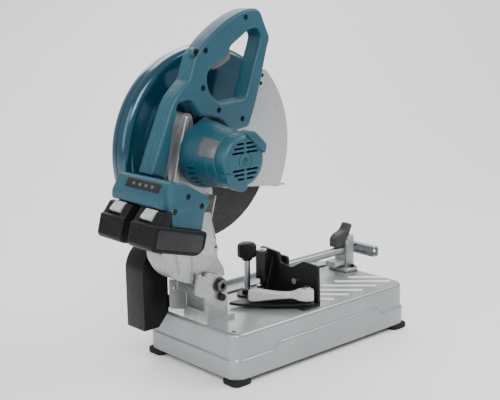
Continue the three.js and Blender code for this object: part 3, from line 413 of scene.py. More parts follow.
def joinRings(bm, rings):
    count = len(rings[0])
    for first, second in zip(rings, rings[1:]):
        for k in range(count):
            n = (k + 1) % count
            bm.faces.new((first[k], first[n], second[n], second[k]))


# A body of revolution about an axis through (a, b), from [radius, height] pairs.
def lathe(name, profile, axis, centre, segments=96, closed=True):
    bm = bmesh.new()
    rings = []
    for radius, height in profile:
        ring = []
        for k in range(segments):
            angle = 2 * math.pi * k / segments
            c, s = radius * math.cos(angle), radius * math.sin(angle)
            place = {"y": (centre[0] + c, height, centre[1] + s), "z": (centre[0] + c, centre[1] + s, height),
                     "x": (height, centre[0] + c, centre[1] + s)}[axis]
            ring.append(bm.verts.new(place))
        rings.append(ring)
    pairs = list(zip(rings, rings[1:]))
    if closed:
        pairs.append((rings[-1], rings[0]))
    for first, second in pairs:
        for k in range(segments):
            quad = (first[k], first[(k + 1) % segments], second[(k + 1) % segments], second[k])
            bm.faces.new(quad)
    bmesh.ops.remove_doubles(bm, verts=bm.verts, dist=0.001)
    bmesh.ops.dissolve_degenerate(bm, edges=bm.edges, dist=0.001)
    return meshObject(name, bm)


def subtract(obj, cutters):
    for cutter in cutters:
        modifier = obj.modifiers.new("cut", "BOOLEAN")
        modifier.operation = "DIFFERENCE"
        modifier.solver = "EXACT"
        modifier.object = cutter
    obj = bake(obj)
    for cutter in cutters:
        bpy.data.objects.remove(cutter)
    return obj


def merge(name, parts):
    bm = bmesh.new()
    for part in parts:
        bm.from_mesh(part.data)
        bpy.data.objects.remove(part)
    return meshObject(name, bm)


def rodMesh(name, axis, centre, radius, low, high, segments=32, edge=0.0):
    inner = max(radius - edge, 0.001)
    profile = [(0, low), (inner, low), (radius, low + edge), (radius, high - edge), (inner, high), (0, high)]
    return lathe(name, profile, axis, centre, segments, closed=False)


# Pressed steel pan: skirt with a joggle, rounded deck edge, slot and holes.
panShape = dict(length=467, width=259, corner=26, top=96, wall=3, slot=(118, 440, 194, 208), stepLow=47,
                stepHigh=60, ribHeight=1.9, ribHalfWidth=3.2)


def panRing(inset, level):
    p = panShape
    loop = roundedLoop(boxLoop(inset, p["length"] - inset, inset, p["width"] - inset,
        p["corner"] - inset * 0.6), 10)
    dense = []
    for (u0, v0), (u1, v1) in zip(loop, loop[1:] + loop[:1]):
        pieces = max(1, round(math.hypot(u1 - u0, v1 - v0) / 8)) if math.hypot(u1 - u0, v1 - v0) > 30 else 1
        dense += [(u0 + (u1 - u0) * k / pieces, v0 + (v1 - v0) * k / pieces) for k in range(pieces)]
    return [(u, v, level(u, v)) for u, v in dense]


def stepLevel(offset):
    p = panShape

    def level(u, v):
        onSide = v < 6 or v > p["width"] - 6
        ramp = min(max(min(u - 95, 388 - u) / 13, 0), 1) if onSide else 0
        smooth = ramp * ramp * (3 - 2 * ramp)
        return p["stepLow"] + (p["stepHigh"] - p["stepLow"]) * smooth + offset
    return level


def makePan():
    p = panShape
    flat = lambda z: (lambda u, v: z)
    profile = [
        (8.0, flat(93)), (6.0, flat(88)), (6.0, flat(11.6)), (4.5, flat(11)), (1.2, flat(11)), (0.2,
        flat(12)), (0, flat(14)),
        (0, stepLevel(-3)), (0.2, stepLevel(-1.6)), (1.0, stepLevel(-0.2)), (2.2, stepLevel(0.9)), (2.9,
        stepLevel(2.4)),
        (3, stepLevel(4)), (3, flat(89)), (3.4, flat(91.4)), (4.6, flat(93.6)), (6.4, flat(95.2)), (8.6,
        flat(95.85)),
        (11, flat(96))]
    bm = bmesh.new()
    rings = [[bm.verts.new(point) for point in panRing(inset, level)] for inset, level in profile]
    count = len(rings[0])
    joinRings(bm, rings)
    x0, x1, y0, y1 = p["slot"]
    holes = [roundedLoop(boxLoop(x0, x1, y0, y1, 6.9), 6)]
    holes += [circleLoop(x, y, 5, 20) for x, y in ((18, 24), (455, 128), (18, 235), (440, 235))]
    topEdges = [bm.edges.get((rings[-1][k], rings[-1][(k + 1) % count])) for k in range(count)]
    lowEdges = [bm.edges.get((rings[0][k], rings[0][(k + 1) % count])) for k in range(count)]
    for loop in holes:
        upper = [bm.verts.new((u, v, p["top"])) for u, v in loop]
        lower = [bm.verts.new((u, v, p["top"] - p["wall"])) for u, v in loop]
        for k in range(len(loop)):
            n = (k + 1) % len(loop)
            bm.faces.new((upper[k], upper[n], lower[n], lower[k]))
            topEdges.append(bm.edges.get((upper[k], upper[n])))
            lowEdges.append(bm.edges.get((lower[k], lower[n])))
    bmesh.ops.triangle_fill(bm, edges=topEdges, use_beauty=True)
    bmesh.ops.triangle_fill(bm, edges=lowEdges, use_beauty=True)
    return meshObject("basePan", bm)


def makeRibs():
    p = panShape
    ribs = []
    for row in range(6):
        startX = 405 - row * 41.5
        startY = min(106, 106 + startX - 246)
        endY = 48 if row == 0 else 25
        a = Vector((startX + 106 - startY, startY))
        b = Vector((startX + 106 - endY, endY))
        length = (b - a).length
        turn = math.atan2(b.y - a.y, b.x - a.x)
        loop = roundedLoop(boxLoop(0, length, -p["ribHalfWidth"], p["ribHalfWidth"],
            p["ribHalfWidth"] * 0.98), 6)
        rib = slab(f"rib{row}", [loop], "z", p["top"] - 2, p["top"] + p["ribHeight"], edge=1.5)
        rib.data.transform(Matrix.Translation((a.x, a.y, 0)) @ Matrix.Rotation(turn, 4, "Z"))
        ribs.append(rib)
    lip = slab("deckRail", [roundedLoop(boxLoop(60, 335, 247, 253, 2.5), 4)], "z", 93, 104, edge=1.6)
    return merge("deckRibs", ribs), lip


finishPiece(toFrame(makePan()), "base", "grey_paint", ["base_pan"])
deckRibs, deckRail = makeRibs()
# The ribs get near-white paint as a painted highlight along their raised tops, though they are the same grey
# steel as the pan.
finishPiece(toFrame(deckRibs), "base", "rib_paint")
finishPiece(toFrame(deckRail), "base", "grey_paint")
print("base pan built")

# Handle: two moulded halves with soft edges and recessed screws.
handleShape = dict(low=92, high=132, split=112, seam=0.35, edge=5.2, screwRadius=5.2, screwDepth=9)
handleOutline = [
    (-101, 387, 4), (-48, 508, 30), (-22, 532, 8), (-12, 540, 5), (4, 581, 8), (29, 606, 12), (52, 623, 12),
    (75, 637, 12),
    (99, 648, 12), (123, 655.5, 10), (146, 656.5, 8), (157, 650, 8), (168, 625, 8), (179, 603, 8), (170, 579,
    8), (155, 526, 10),
    (140, 481, 10), (124, 445, 6), (86, 441, 8), (74, 449, 8), (54, 467, 10), (22, 473, 12), (10, 474, 4),
    (-11, 504, 6),
    (-38, 502, 8), (-46, 474, 20), (-70.5, 371, 3)]
gripOpening = [
    (30, 552, 8), (28, 532, 8), (36, 510, 10), (56, 494, 10), (116, 497, 8), (128, 524, 8), (137, 553, 10),
    (152, 590, 8),
    (157, 606, 5), (148, 621, 5), (128, 619, 5), (84, 592, 5), (78, 577, 4), (62, 566, 4)]
handleScrews = [(119, 641), (25, 588), (17, 524), (52, 482), (107, 461)]


def makeHandle():
    h = handleShape
    loops = [roundedLoop(handleOutline, 6), roundedLoop(gripOpening, 6)]
    body = slab("handle", loops, "y", h["low"], h["high"], edge=h["edge"], edgeSteps=5)
    cutters = [rodMesh(f"bore{k}", "y", place, h["screwRadius"], h["low"] - 4, h["low"] + h["screwDepth"], 24)
               for k, place in enumerate(handleScrews)]
    cutters.append(rodMesh("caseRoom", "y", (98, 398), 66.5, 111.9, 150, 64))
    cutters.append(rodMesh("buttonRoom", "y", (66, 604), 5.8, 112.6, 144, 24))
    cutters.append(slab("triggerRoom", [roundedLoop([
        (40, 556, 2), (56, 550, 2), (84, 574, 2), (99, 590, 3), (88, 606, 3), (46, 594,
        3)], 4)], "y", 103.6, 120.4, edge=0.5))
    body = subtract(body, cutters)
    halves = []
    for name, level, sign in (("handleNearHalf", h["split"] - h["seam"], 1), ("handleFarHalf",
            h["split"] + h["seam"], -1)):
        bm = bmesh.new()
        bm.from_mesh(body.data)
        cutResult = bmesh.ops.bisect_plane(
            bm, geom=list(bm.verts) + list(bm.edges) + list(bm.faces), plane_co=(0, level, 0), plane_no=(0,
            sign, 0),
            clear_outer=True)
        rim = [item for item in cutResult["geom_cut"] if isinstance(item, bmesh.types.BMEdge)]
        bmesh.ops.triangle_fill(bm, edges=rim, use_beauty=True)
        halves.append(meshObject(name, bm))
    bpy.data.objects.remove(body)
    return halves


handleNear, handleFar = makeHandle()
finishPiece(toFrame(handleNear), "head", "teal_plastic", ["handle_near"])
finishPiece(toFrame(handleFar), "head", "teal_plastic", ["handle_far"])


def makeScrews(name, places, level, radius):
    heads = []
    for k, (x, z) in enumerate(places):
        head = lathe(f"{name}{k}", [
            (0.6, level), (0.6, level + 0.9), (radius * 0.5, level + 0.9), (radius * 0.5, level),
            (radius * 0.86, level),
            (radius, level + 0.7), (radius, level + 2.2), (0, level + 2.2)], "y", (x, z), 24, closed=False)
        heads.append(head)
    return merge(name, heads)


finishPiece(toFrame(makeScrews("handleScrews", handleScrews, 97, 4.6)), "head", "dark_steel")

# Round boss on the rear edge with its own screw.
bossShape = dict(place=(4, 586), radius=8.2, low=93, high=106)


def makeBoss():
    b = bossShape
    boss = rodMesh("handleBoss", "y", b["place"], b["radius"], b["low"], b["high"], 40, 2.0)
    return subtract(boss, [rodMesh("bossBore", "y", b["place"], 6.4, b["low"] - 3, b["low"] + 3, 32)])


finishPiece(toFrame(makeBoss()), "head", "teal_plastic")
finishPiece(toFrame(makeScrews("bossScrew", [bossShape["place"]], 93.4, 5.9)), "head", "black_paint")

# Grip ribs moulded near the top of the handle and a rib line along the strut.
gripRibs = dict(count=5, first=(98, 632), pitch=8.4, length=9.0, width=2.2)


def makeGripRibs():
    g = gripRibs
    parts = []
    for k in range(g["count"]):
        u = g["first"][0] + k * g["pitch"]
        loop = roundedLoop(boxLoop(-g["width"] / 2, g["width"] / 2, -g["length"] / 2, g["length"] / 2, 1.0),
            4)
        rib = slab(f"gripRib{k}", [loop], "y", 92.02, 94.5, edge=0.6)
        rib.data.transform(Matrix.Translation((u, 0, g["first"][1] + k * 0.9)) @ Matrix.Rotation(0.5, 4, "Y"))
        parts.append(rib)
    strut = [(-88, 396, 3), (-46, 492, 12), (-40, 490, 3), (-81, 393, 3)]
    parts.append(slab("strutRib", [roundedLoop(strut, 5)], "y", 92.02, 95, edge=1.2))
    return merge("handleRibs", parts)


finishPiece(toFrame(makeGripRibs()), "head", "teal_plastic")
print("handle built")

# Motor: tapered housing, end cap with vent slots, corner bumpers and a plain data plate.
motorShape = dict(centre=(20, 408), segments=120)


def makeMotorHousing():
    m = motorShape
    profile = [
        (36, 14.3), (45.6, 14.3), (46.6, 15.2), (47.6, 18), (49.2, 26), (50.4, 31), (50.2, 31.4), (50.2,
        32.4), (50.8, 33),
        (54.4, 60), (57.6, 78), (59.2, 86), (59.9, 90), (60, 92.8), (59.4, 93.8), (52, 93.8), (52, 84), (45,
        30), (44.5, 20),
        (36, 20)]
    body = lathe("motorHousing", profile, "y", m["centre"], m["segments"])
    cutters = []
    for angle in [k * 11 + 196 for k in range(6)] + [k * 11 + 20 for k in range(5)]:
        turn = math.radians(angle)
        slot = slab(f"vent{angle}", [roundedLoop(boxLoop(-2.1, 2.1, 62, 80, 2.0), 4)], "z", 40, 70, edge=0.3)
        spin = Matrix.Translation((m["centre"][0], 0, m["centre"][1])) @ Matrix.Rotation(math.pi / 2 - turn,
            4, "Y")
        slot.data.transform(spin)
        cutters.append(slot)
    return subtract(body, cutters)


def makeEndCap():
    m = motorShape
    profile = [
        (0, -8.6), (4.4, -8.6), (5.4, -9.6), (6.4, -11.6), (8, -12), (36.5, -12), (39.5, -11.4), (42.6,
        -9.4), (44.4, -6.4),
        (45.6, -1), (46.7, 7), (47, 11.4), (46.6, 13), (46, 13.6), (42, 13.6), (38, -4), (16, -4), (16, 4),
        (11.4, 4), (11.4, -3.9),
        (0, -3.9)]
    body = lathe("motorEndCap", profile, "y", m["centre"], m["segments"], closed=False)
    cutters = []
    for offset in (-30, -22.5, -15, 15, 22.5, 30):
        reach = math.sqrt(37 * 37 - offset * offset) * 0.86
        z = m["centre"][1] + offset
        for start, end in ((-reach, -2.2), (2.2, reach)):
            loop = roundedLoop(boxLoop(m["centre"][0] + start, m["centre"][0] + end, z - 1.9, z + 1.9, 1.8),
                4)
            cutters.append(slab(f"endSlot{offset}{start > 0}", [loop], "y", -14, -1, edge=0.3))
    ring = lathe("ringGroove", [(13.5, -13), (14.9, -13), (14.9, -11), (13.5, -11)], "y", m["centre"], 64)
    return subtract(body, cutters + [ring])


def makeBumpers():
    m = motorShape
    parts = []
    for angle in (-0.75, 2.6):
        lug = slab(f"bumper{angle}", [roundedLoop([(-27, 35, 3), (27, 35, 3), (21, 50.5, 9), (-21, 50.5, 9)],
            6)], "y", -15, 14, edge=2.4)
        lug.data.transform(Matrix.Translation((m["centre"][0], 0, m["centre"][1])) @ Matrix.Rotation(-angle,
            4, "Y"))
        parts.append(lug)
    return merge("motorBumpers", parts)


finishPiece(toFrame(makeMotorHousing()), "head", "teal_plastic", ["motor_housing"])
finishPiece(toFrame(makeEndCap()), "head", "teal_plastic", ["motor_end_cap"])
finishPiece(toFrame(makeBumpers()), "head", "teal_plastic")

# Plain data plate that follows the housing's taper, with lowered borders.
plateShape = dict(start=133, end=173, low=14.8, high=53, thick=0.8)


def makeDataPlate():
    p = plateShape
    m = motorShape
    steps, rows = 26, 10
    bm = bmesh.new()
    grid = []
    for i in range(steps + 1):
        column = []
        for j in range(rows + 1):
            angle = math.radians(p["start"] + (p["end"] - p["start"]) * i / steps)
            y = p["low"] + (p["high"] - p["low"]) * j / rows
            radius = 51.1 + (y - 33) * 0.14 + p["thick"] * 0.55 - max(0, 30 - y) * 0.06
            border = i in (0, steps) or j in (0, rows)
            radius -= 0.7 if border else 0
            column.append(bm.verts.new((m["centre"][0] + radius * math.cos(angle), y,
                m["centre"][1] + radius * math.sin(angle))))
        grid.append(column)
    for i in range(steps):
        for j in range(rows):
            bm.faces.new((grid[i][j], grid[i + 1][j], grid[i + 1][j + 1], grid[i][j + 1]))
    return meshObject("dataPlate", bm)


finishPiece(toFrame(makeDataPlate()), "head", "label_grey")
print("motor built")

# Wheel guard shells: pressed sheet with a flat centre, a step and a rounded shoulder.
guardShape = dict(centre=(98, 398), start=47, end=222, radius=192.4, bore=22, farBore=2.0, nearRim=202.6,
                  farRim=203.1, sheet=2.2)
guardCorners = [(46, -62), (-40, -70)]


def guardReach(angle):
    g = guardShape
    degrees = math.degrees(angle) % 360
    if g["start"] <= degrees <= g["end"]:
        return g["radius"]
    first = Vector((g["radius"] * math.cos(math.radians(g["start"])),
        g["radius"] * math.sin(math.radians(g["start"]))))
    last = Vector((g["radius"] * math.cos(math.radians(g["end"])),
        g["radius"] * math.sin(math.radians(g["end"]))))
    outline = [first, Vector(guardCorners[0]), Vector(guardCorners[1]), last]
    ray = Vector((math.cos(angle), math.sin(angle)))
    best = g["radius"]
    for a, b in zip(outline, outline[1:]):
        edge = b - a
        cross = ray.x * edge.y - ray.y * edge.x
        if abs(cross) < 1e-9:
            continue
        distance = (a.x * edge.y - a.y * edge.x) / cross
        along = (a.x * ray.y - a.y * ray.x) / cross
        if distance > 0 and -1e-6 <= along <= 1 + 1e-6:
            best = min(best, distance)
    return best


def levelAt(profile, radius):
    for (r0, y0), (r1, y1) in zip(profile, profile[1:]):
        if radius <= r1:
            return y0 + (y1 - y0) * max(0, radius - r0) / (r1 - r0)
    return profile[-1][1]


def makeGuardShell(name, profile, bore, rimLevel):
    g = guardShape
    breaks = [g["start"], g["end"]] + [math.degrees(math.atan2(v, u)) % 360 for u, v in guardCorners]
    angles = sorted(set([k * 2.5 for k in range(144)] + breaks))
    bm = bmesh.new()
    columns = []
    for degrees in angles:
        angle = math.radians(degrees)
        reach = min(guardReach(angle), profile[-1][0])
        full = g["start"] <= degrees <= g["end"]
        column = []
        for radius, level in [(bore, profile[0][1])] + profile:
            clipped = radius if full else min(radius, reach)
            height = level if full else levelAt(profile, clipped)
            column.append(bm.verts.new((
                g["centre"][0] + clipped * math.cos(angle), height,
                g["centre"][1] + clipped * math.sin(angle))))
        rim = None
        if full:
            rim = bm.verts.new((g["centre"][0] + profile[-1][0] * math.cos(angle), rimLevel,
                                g["centre"][1] + profile[-1][0] * math.sin(angle)))
        columns.append((column, rim))
    for (a, rimA), (b, rimB) in zip(columns, columns[1:] + columns[:1]):
        for j in range(len(a) - 1):
            bm.faces.new((a[j], b[j], b[j + 1], a[j + 1]))
        if rimA and rimB:
            bm.faces.new((a[-1], b[-1], rimB, rimA))
    if bore <= g["farBore"]:
        bm.faces.new([column[0] for column, rim in columns])  # closed centre on the far shell
    bmesh.ops.remove_doubles(bm, verts=bm.verts, dist=0.02)
    bmesh.ops.dissolve_degenerate(bm, edges=bm.edges, dist=0.01)
    bmesh.ops.delete(bm, geom=[v for v in bm.verts if not v.link_faces], context="VERTS")
    bmesh.ops.recalc_face_normals(bm, faces=bm.faces)
    middle = (profile[0][1] + rimLevel) / 2
    disc = min(bm.faces, key=lambda face: abs(face.calc_center_median().y - profile[0][1]))
    if (disc.calc_center_median().y - middle) * disc.normal.y < 0:
        bmesh.ops.reverse_faces(bm, faces=bm.faces)
    obj = meshObject(name, bm)
    thick = obj.modifiers.new("sheet", "SOLIDIFY")
    thick.thickness = g["sheet"]
    thick.offset = -1
    return bake(obj)


nearProfile = [(40, 173.4), (96, 173.4), (140, 173.5), (146, 174.0), (151, 175.6), (156, 176.4), (174,
    177.0), (181, 178.0),
               (187, 180.4), (190.4, 184), (192, 188.5), (192.4, 192)]
farProfile = [(40, 228.6), (96, 228.6), (146, 228.2), (152, 226.8), (158, 226.2), (176, 225.6), (183, 224.2),
    (188.6, 221.4),
              (191.6, 217.4), (192.8, 213), (193, 209)]

finishPiece(toFrame(makeGuardShell("guardNear", nearProfile, guardShape["bore"], guardShape["nearRim"])),
    "head", "teal_paint",
            ["guard_near_shell"])
finishPiece(toFrame(makeGuardShell("guardFar", farProfile, guardShape["farBore"], guardShape["farRim"])),
    "head", "teal_paint", ["guard_far_shell"])
print("guards built")

# Battery mount: a stepped housing with a plain status plate and recessed screws.
mountShape = dict(low=2, high=148, edge=3.2, rearStep=14, plateLow=24, plateHigh=116)
mountSide = [
    (-146, 348, 4), (-145, 362, 4), (-126, 391, 7), (-96, 383, 5), (-53, 357, 7), (-46.2, 346, 7), (-58, 332,
    5), (-66, 298.4, 4),
    (-128, 316, 3), (-132, 338, 4)]
mountScrews = [(-94, 362), (-66, 342), (-122, 341)]
packPlace = dict(x=-168, z=326, tilt=math.radians(15), width=68, lows=(-5, 82))


def tiltToPack(obj):
    tilt = Matrix.Rotation(packPlace["tilt"], 4, "Y")
    obj.data.transform(Matrix.Translation((packPlace["x"], 0, packPlace["z"])) @ tilt)
    return obj


def makeMount():
    m = mountShape
    body = slab("batteryMount", [roundedLoop(mountSide, 6)], "y", m["low"], m["high"], edge=m["edge"],
        edgeSteps=4)
    cutters = [slab("castingRoom", [roundedLoop(boxLoop(-56, 0, 260, 420, 2), 3)], "y", 103, 170, edge=0.5)]
    for y in packPlace["lows"]:
        cutters.append(tiltToPack(slab(f"bodyRoom{y}", [boxCorners(-60, 112.5, -140, 1.5)], "y", y - 0.5,
            y + 68.5, edge=0.1)))
        cutters.append(tiltToPack(slab(f"humpRoom{y}", [boxCorners(20, 106.5, -10, 24.5)], "y", y + 11.5,
            y + 56.5, edge=0.1)))
        cutters.append(tiltToPack(slab(f"heelRoom{y}", [boxCorners(-60, 32.5, -10, 26.5)], "y", y - 40,
            y + 68.5, edge=0.1)))
    cutters += [rodMesh(f"mountBore{k}", "y", place, 5.0, -3, 10, 24) for k, place in enumerate(mountScrews)]
    step = m["rearStep"]
    corner = [(-170, -6), (-119, -6), (-119, 2), (-129, step - 5), (-133, step), (-170, step)]
    cutters.append(slab("rearCorner", [corner], "z", 280, 420, edge=0.3))
    return subtract(body, cutters)


def makeStatusPlate():
    m = mountShape
    low, high = Vector((-139.2, 0, 371.3)), Vector((-130.4, 0, 384.8))
    along = high - low
    outward = Vector((-along.z, 0, along.x)).normalized()
    width = along.length
    plate = slab("statusPlate", [roundedLoop(boxLoop(0, width, m["plateLow"], m["plateHigh"], 2.5), 5)], "z",
        -0.6, 0.9, edge=0.4)
    cells = [slab(f"cell{k}", [roundedLoop(boxLoop(5.5, width - 5.5, 40 + k * 17, 47 + k * 17, 1.2), 4)],
        "z", 0.2, 1.3, edge=0.3)
             for k in range(4)]
    turn = Matrix((along.normalized(), Vector((0, 1, 0)), outward)).transposed().to_4x4()
    for obj in [plate] + cells:
        obj.data.transform(Matrix.Translation(low) @ turn)
    return plate, merge("statusCells", cells)


finishPiece(toFrame(makeMount()), "head", "teal_plastic", ["battery_mount"])
statusPlate, statusCells = makeStatusPlate()
finishPiece(toFrame(statusPlate), "head", "panel_plastic")
finishPiece(toFrame(statusCells), "head", "label_grey")
finishPiece(toFrame(makeScrews("mountScrews", mountScrews, 6, 4.4)), "head", "dark_steel")
print("battery mount built")

# Battery packs: rounded body, raised heel, a glossy side panel and vent grooves at the rear.
packShape = dict(edge=3.0, well=[(-4, 12), (16, 32), (26, 22), (6, 0)], wellHalf=15, grooves=5)


def makePack(name, y0):
    p = packPlace
    low = [(0, -2, 5), (0, -36, 6), (6, -42, 5), (98, -42, 8), (112, -30, 9), (112, -2, 5), (108, 1, 3), (4,
        1, 3)]
    body = slab(name, [roundedLoop(low, 6)], "y", y0, y0 + p["width"], edge=packShape["edge"], edgeSteps=4)
    heel = slab(name + "Heel", [roundedLoop([(1, -6, 1), (13, 22, 5), (18, 24, 4), (31, 24, 3), (31, -6, 1)],
        5)], "y", y0 + 2,
                y0 + p["width"] - 2, edge=2.2)
    hump = slab(name + "Hump", [roundedLoop([(28, -6), (28, 24), (106, 24, 3), (106, -6)], 4)], "y", y0 + 12,
        y0 + 56, edge=1.2)
    middle = y0 + p["width"] / 2

    def makeWell(wellName):
        half = packShape["wellHalf"]
        return slab(wellName, [packShape["well"]], "y", middle - half, middle + half, edge=0.3)

    grooves = [slab(f"{name}Groove{k}", [boxCorners(-1, 0.9, -34 + k * 5, -32.4 + k * 5)], "y", y0 + 8,
        y0 + 60, edge=0.2)
               for k in range(packShape["grooves"])]
    cutters = [makeWell(name + "Well")] + grooves
    for side in (y0 - 1, y0 + p["width"] - 0.7):
        frameLoops = [roundedLoop(boxLoop(5, 107, -38, -3, 7), 5), roundedLoop(boxLoop(6.8, 105.2, -36.2,
            -4.8, 6), 5)]
        cutters.append(slab(f"{name}Frame{side}", frameLoops, "y", side, side + 1.7, edge=0.1))
    parts = [subtract(body, cutters), subtract(heel, [makeWell(name + "HeelWell")]), hump]
    return tiltToPack(merge(name, parts))


for index, side in enumerate(("near", "far")):
    y0 = packPlace["lows"][index]
    finishPiece(toFrame(makePack(f"pack{side.title()}", y0)), f"pack_{side}", "black_plastic",
                [f"battery_pack_{side}"])
    outer = y0 if side == "near" else y0 + packPlace["width"]
    panel = slab(f"packPanel{side.title()}", [roundedLoop(boxLoop(7.6, 104.4, -35.4, -5.6, 5), 5)], "y",
        outer - 0.7,
                 outer + 0.7, edge=0.5)
    finishPiece(toFrame(tiltToPack(panel)), f"pack_{side}", "panel_plastic")
print("packs built")

# Vise screw with a helical thread.
threadShape = dict(start=262, end=464, radius=9, depth=0.9, pitch=3.0, sides=28, centre=(156, 139))


def makeViseScrew():
    t = threadShape
    bm = bmesh.new()
    steps = int((t["end"] - t["start"]) / (t["pitch"] / 6))
    rings = []
    for i in range(steps + 1):
        x = t["start"] + (t["end"] - t["start"]) * i / steps
        ring = []
        for k in range(t["sides"]):
            angle = 2 * math.pi * k / t["sides"]
            phase = (x / t["pitch"] - k / t["sides"]) % 1
            radius = t["radius"] - t["depth"] * (1 - min(1, abs(phase - 0.5) * 2.6))
            ring.append(bm.verts.new((x, t["centre"][0] + radius * math.cos(angle),
                t["centre"][1] + radius * math.sin(angle))))
        rings.append(ring)
    joinRings(bm, rings)
    bm.faces.new(rings[0])
    bm.faces.new(rings[-1])
    thread = meshObject("thread", bm)
    tip = rodMesh("tip", "x", t["centre"], 5, 254, 263, 28, 0.6)
    tail = rodMesh("tail", "x", t["centre"], 6, 463, 486, 28, 0.8)
    return merge("viseScrew", [thread, tip, tail])


finishPiece(toFrame(makeViseScrew()), "screw_unit", "zinc", ["vise_screw"])

# Clamp knob: twelve soft lobes and a domed top.
knobShape = dict(centre=(180, 168), lobes=12, sides=120, wave=1.1, waveLow=174, waveHigh=197)


def makeKnob():
    k = knobShape
    profile = [(6.4, 167), (9.2, 167), (10, 168), (10, 172.4), (15.6, 173), (17.6, 174.6), (18.5, 177.4),
        (18.7, 192),
               (18.2, 196.4), (16.4, 200), (12, 202), (6, 202.8), (0.3, 203)]
    bm = bmesh.new()
    count = k["sides"]
    rings = []
    for radius, z in profile:
        ring = []
        for i in range(count):
            angle = 2 * math.pi * i / count
            ripple = abs(math.cos(angle * k["lobes"] / 2)) ** 0.6 - 0.5
            wave = k["wave"] * ripple if k["waveLow"] < z < k["waveHigh"] else 0
            ring.append(bm.verts.new((
                k["centre"][0] + (radius + wave) * math.cos(angle),
                k["centre"][1] + (radius + wave) * math.sin(angle), z)))
        rings.append(ring)
    joinRings(bm, rings)
    bm.faces.new(rings[-1])
    return meshObject("clampKnob", bm)


finishPiece(toFrame(makeKnob()), "clamp", "black_plastic", ["clamp_knob"])

# Spark box: a bent sheet strip with flat sides, open towards the wheel.
sparkShape = dict(rear=-67, front=-10, low=78, top=238, near=176, far=230, bend=52, wall=2, edge=0.9)


def sparkOutline(inset):
    s = sparkShape
    arc = []
    for k in range(19):
        angle = math.pi / 2 + math.pi / 2 * k / 18
        radius = s["bend"] - inset
        arc.append((s["rear"] + s["bend"] + radius * math.cos(angle),
            s["top"] - s["bend"] + radius * math.sin(angle)))
    return [(s["front"] - 24, s["low"] + inset), (s["front"] + inset, s["low"] + 26 + inset),
        (s["front"] + inset, s["top"] - inset),
            *arc, (s["rear"] + inset, s["low"] + inset)]


def makeSparkBox():
    s = sparkShape
    shell = slab("sparkBox", [sparkOutline(0)], "y", s["near"], s["far"], edge=s["edge"])
    inner = slab("sparkRoom", [sparkOutline(s["wall"])], "y", s["near"] + s["wall"], s["far"] - s["wall"],
        edge=0.2)
    shell = subtract(shell, [inner])
    tabs = [slab(f"tab{y}", [roundedLoop(boxLoop(s["front"] - 4, -0.4, 112, 136, 3), 4)], "y", y,
        y + s["wall"], edge=0.3)
            for y in (s["near"], s["far"] - s["wall"])]
    return merge("sparkBox", [shell] + tabs)


finishPiece(toFrame(makeSparkBox()), "base", "black_paint", ["spark_box"])

# Raised seams and a front fin on the head casting.
armShape = dict(seamWidth=2.4)


def makeArmDetail():
    parts = []
    for k, points in enumerate(([(-46, 200), (-52, 243)], [(-14, 182), (-18, 243)])):
        (x0, z0), (x1, z1) = points
        w = armShape["seamWidth"]
        loop = roundedLoop([(x0 - w, z0, 1), (x0 + w, z0, 1), (x1 + w, z1, 1), (x1 - w, z1, 1)], 3)
        parts.append(slab(f"seam{k}", [loop], "y", 94, 97, edge=0.8))
    fin = [(41, 330, 2), (44, 328, 2), (32, 286, 3), (42, 249, 3), (36, 233, 3), (44, 213, 3), (58, 190, 4),
        (60, 176, 3),
           (56, 176, 2), (54, 188, 3), (40, 212, 3), (33, 233, 3), (38.6, 249, 3), (28.6, 286, 3)]
    parts.append(slab("fin", [roundedLoop(fin, 3)], "y", 94.6, 112, edge=1.0))
    return merge("armDetail", parts)


finishPiece(toFrame(makeArmDetail()), "head", "cast_paint")

# Lip on the lower corner of the front guard and two screws near its top corner.
guardDetail = dict(
    lip=[(258, 302.6, 0.5), (282, 302.6, 0.5), (284, 306, 1), (282.4, 306.6, 0.5), (281, 304.4, 0.5), (258,
    304.4, 0.5)], low=166.6, high=179,
    screws=[(222, 511), (226, 526)], screwLevel=166.4)
guardLip = slab("frontGuardLip", [roundedLoop(guardDetail["lip"], 3)], "y", guardDetail["low"],
    guardDetail["high"], edge=0.3)
finishPiece(toFrame(guardLip), "moving_guard", "sheet_paint")
finishPiece(toFrame(makeScrews("frontGuardScrews", guardDetail["screws"], guardDetail["screwLevel"], 3.8)),
    "moving_guard", "black_paint")
print("small parts built")


# Kept CAD nodes: rounded edges from a bevel and a procedural finish each.
keptFinish = {
    "rubber": [
        "foot_rear_near", "foot_front_near", "foot_rear_far", "foot_front_far"],
    "cast_paint": [
        "pivot_bracket", "vise_bracket", "head_casting", "gear_cover"],
    "dark_steel": [
        "pivot_bolt", "return_spring", "wheel_bolt"],
    "zinc": [
        "pivot_nut", "guide_swing_bolt", "guide_lock_bolt", "fence_screw", "fence_top_screw", "clamp_screw",
        "lever_pin", "crank"],
    "black_plastic": [
        "stopper_pin", "lock_off_button", "switch_unit", "cooling_fan"],
    "black_paint": [
        "guide_plate", "lever_blade", "vise_bolt_near", "vise_bolt_far", "vise_jaw"],
    "lever_paint": [
        "lock_lever"],
    "dark_plastic": [
        "nut_lever"],
    "steel": [
        "nut_lever_pin", "rotor", "motor_bearing_rear", "motor_bearing_front", "drive_gear", "spindle",
        "spindle_bearing_inner", "spindle_bearing_outer", "inner_flange", "outer_flange"],
    "trigger_plastic": [
        "trigger"],
    "board": [
        "controller_board"],
    "winding": [
        "stator"],
    "abrasive": [
        "cutting_wheel"],
    "sheet_paint": [
        "front_guard"],
    "light_plastic": [
        "release_button_near", "release_button_far"]}
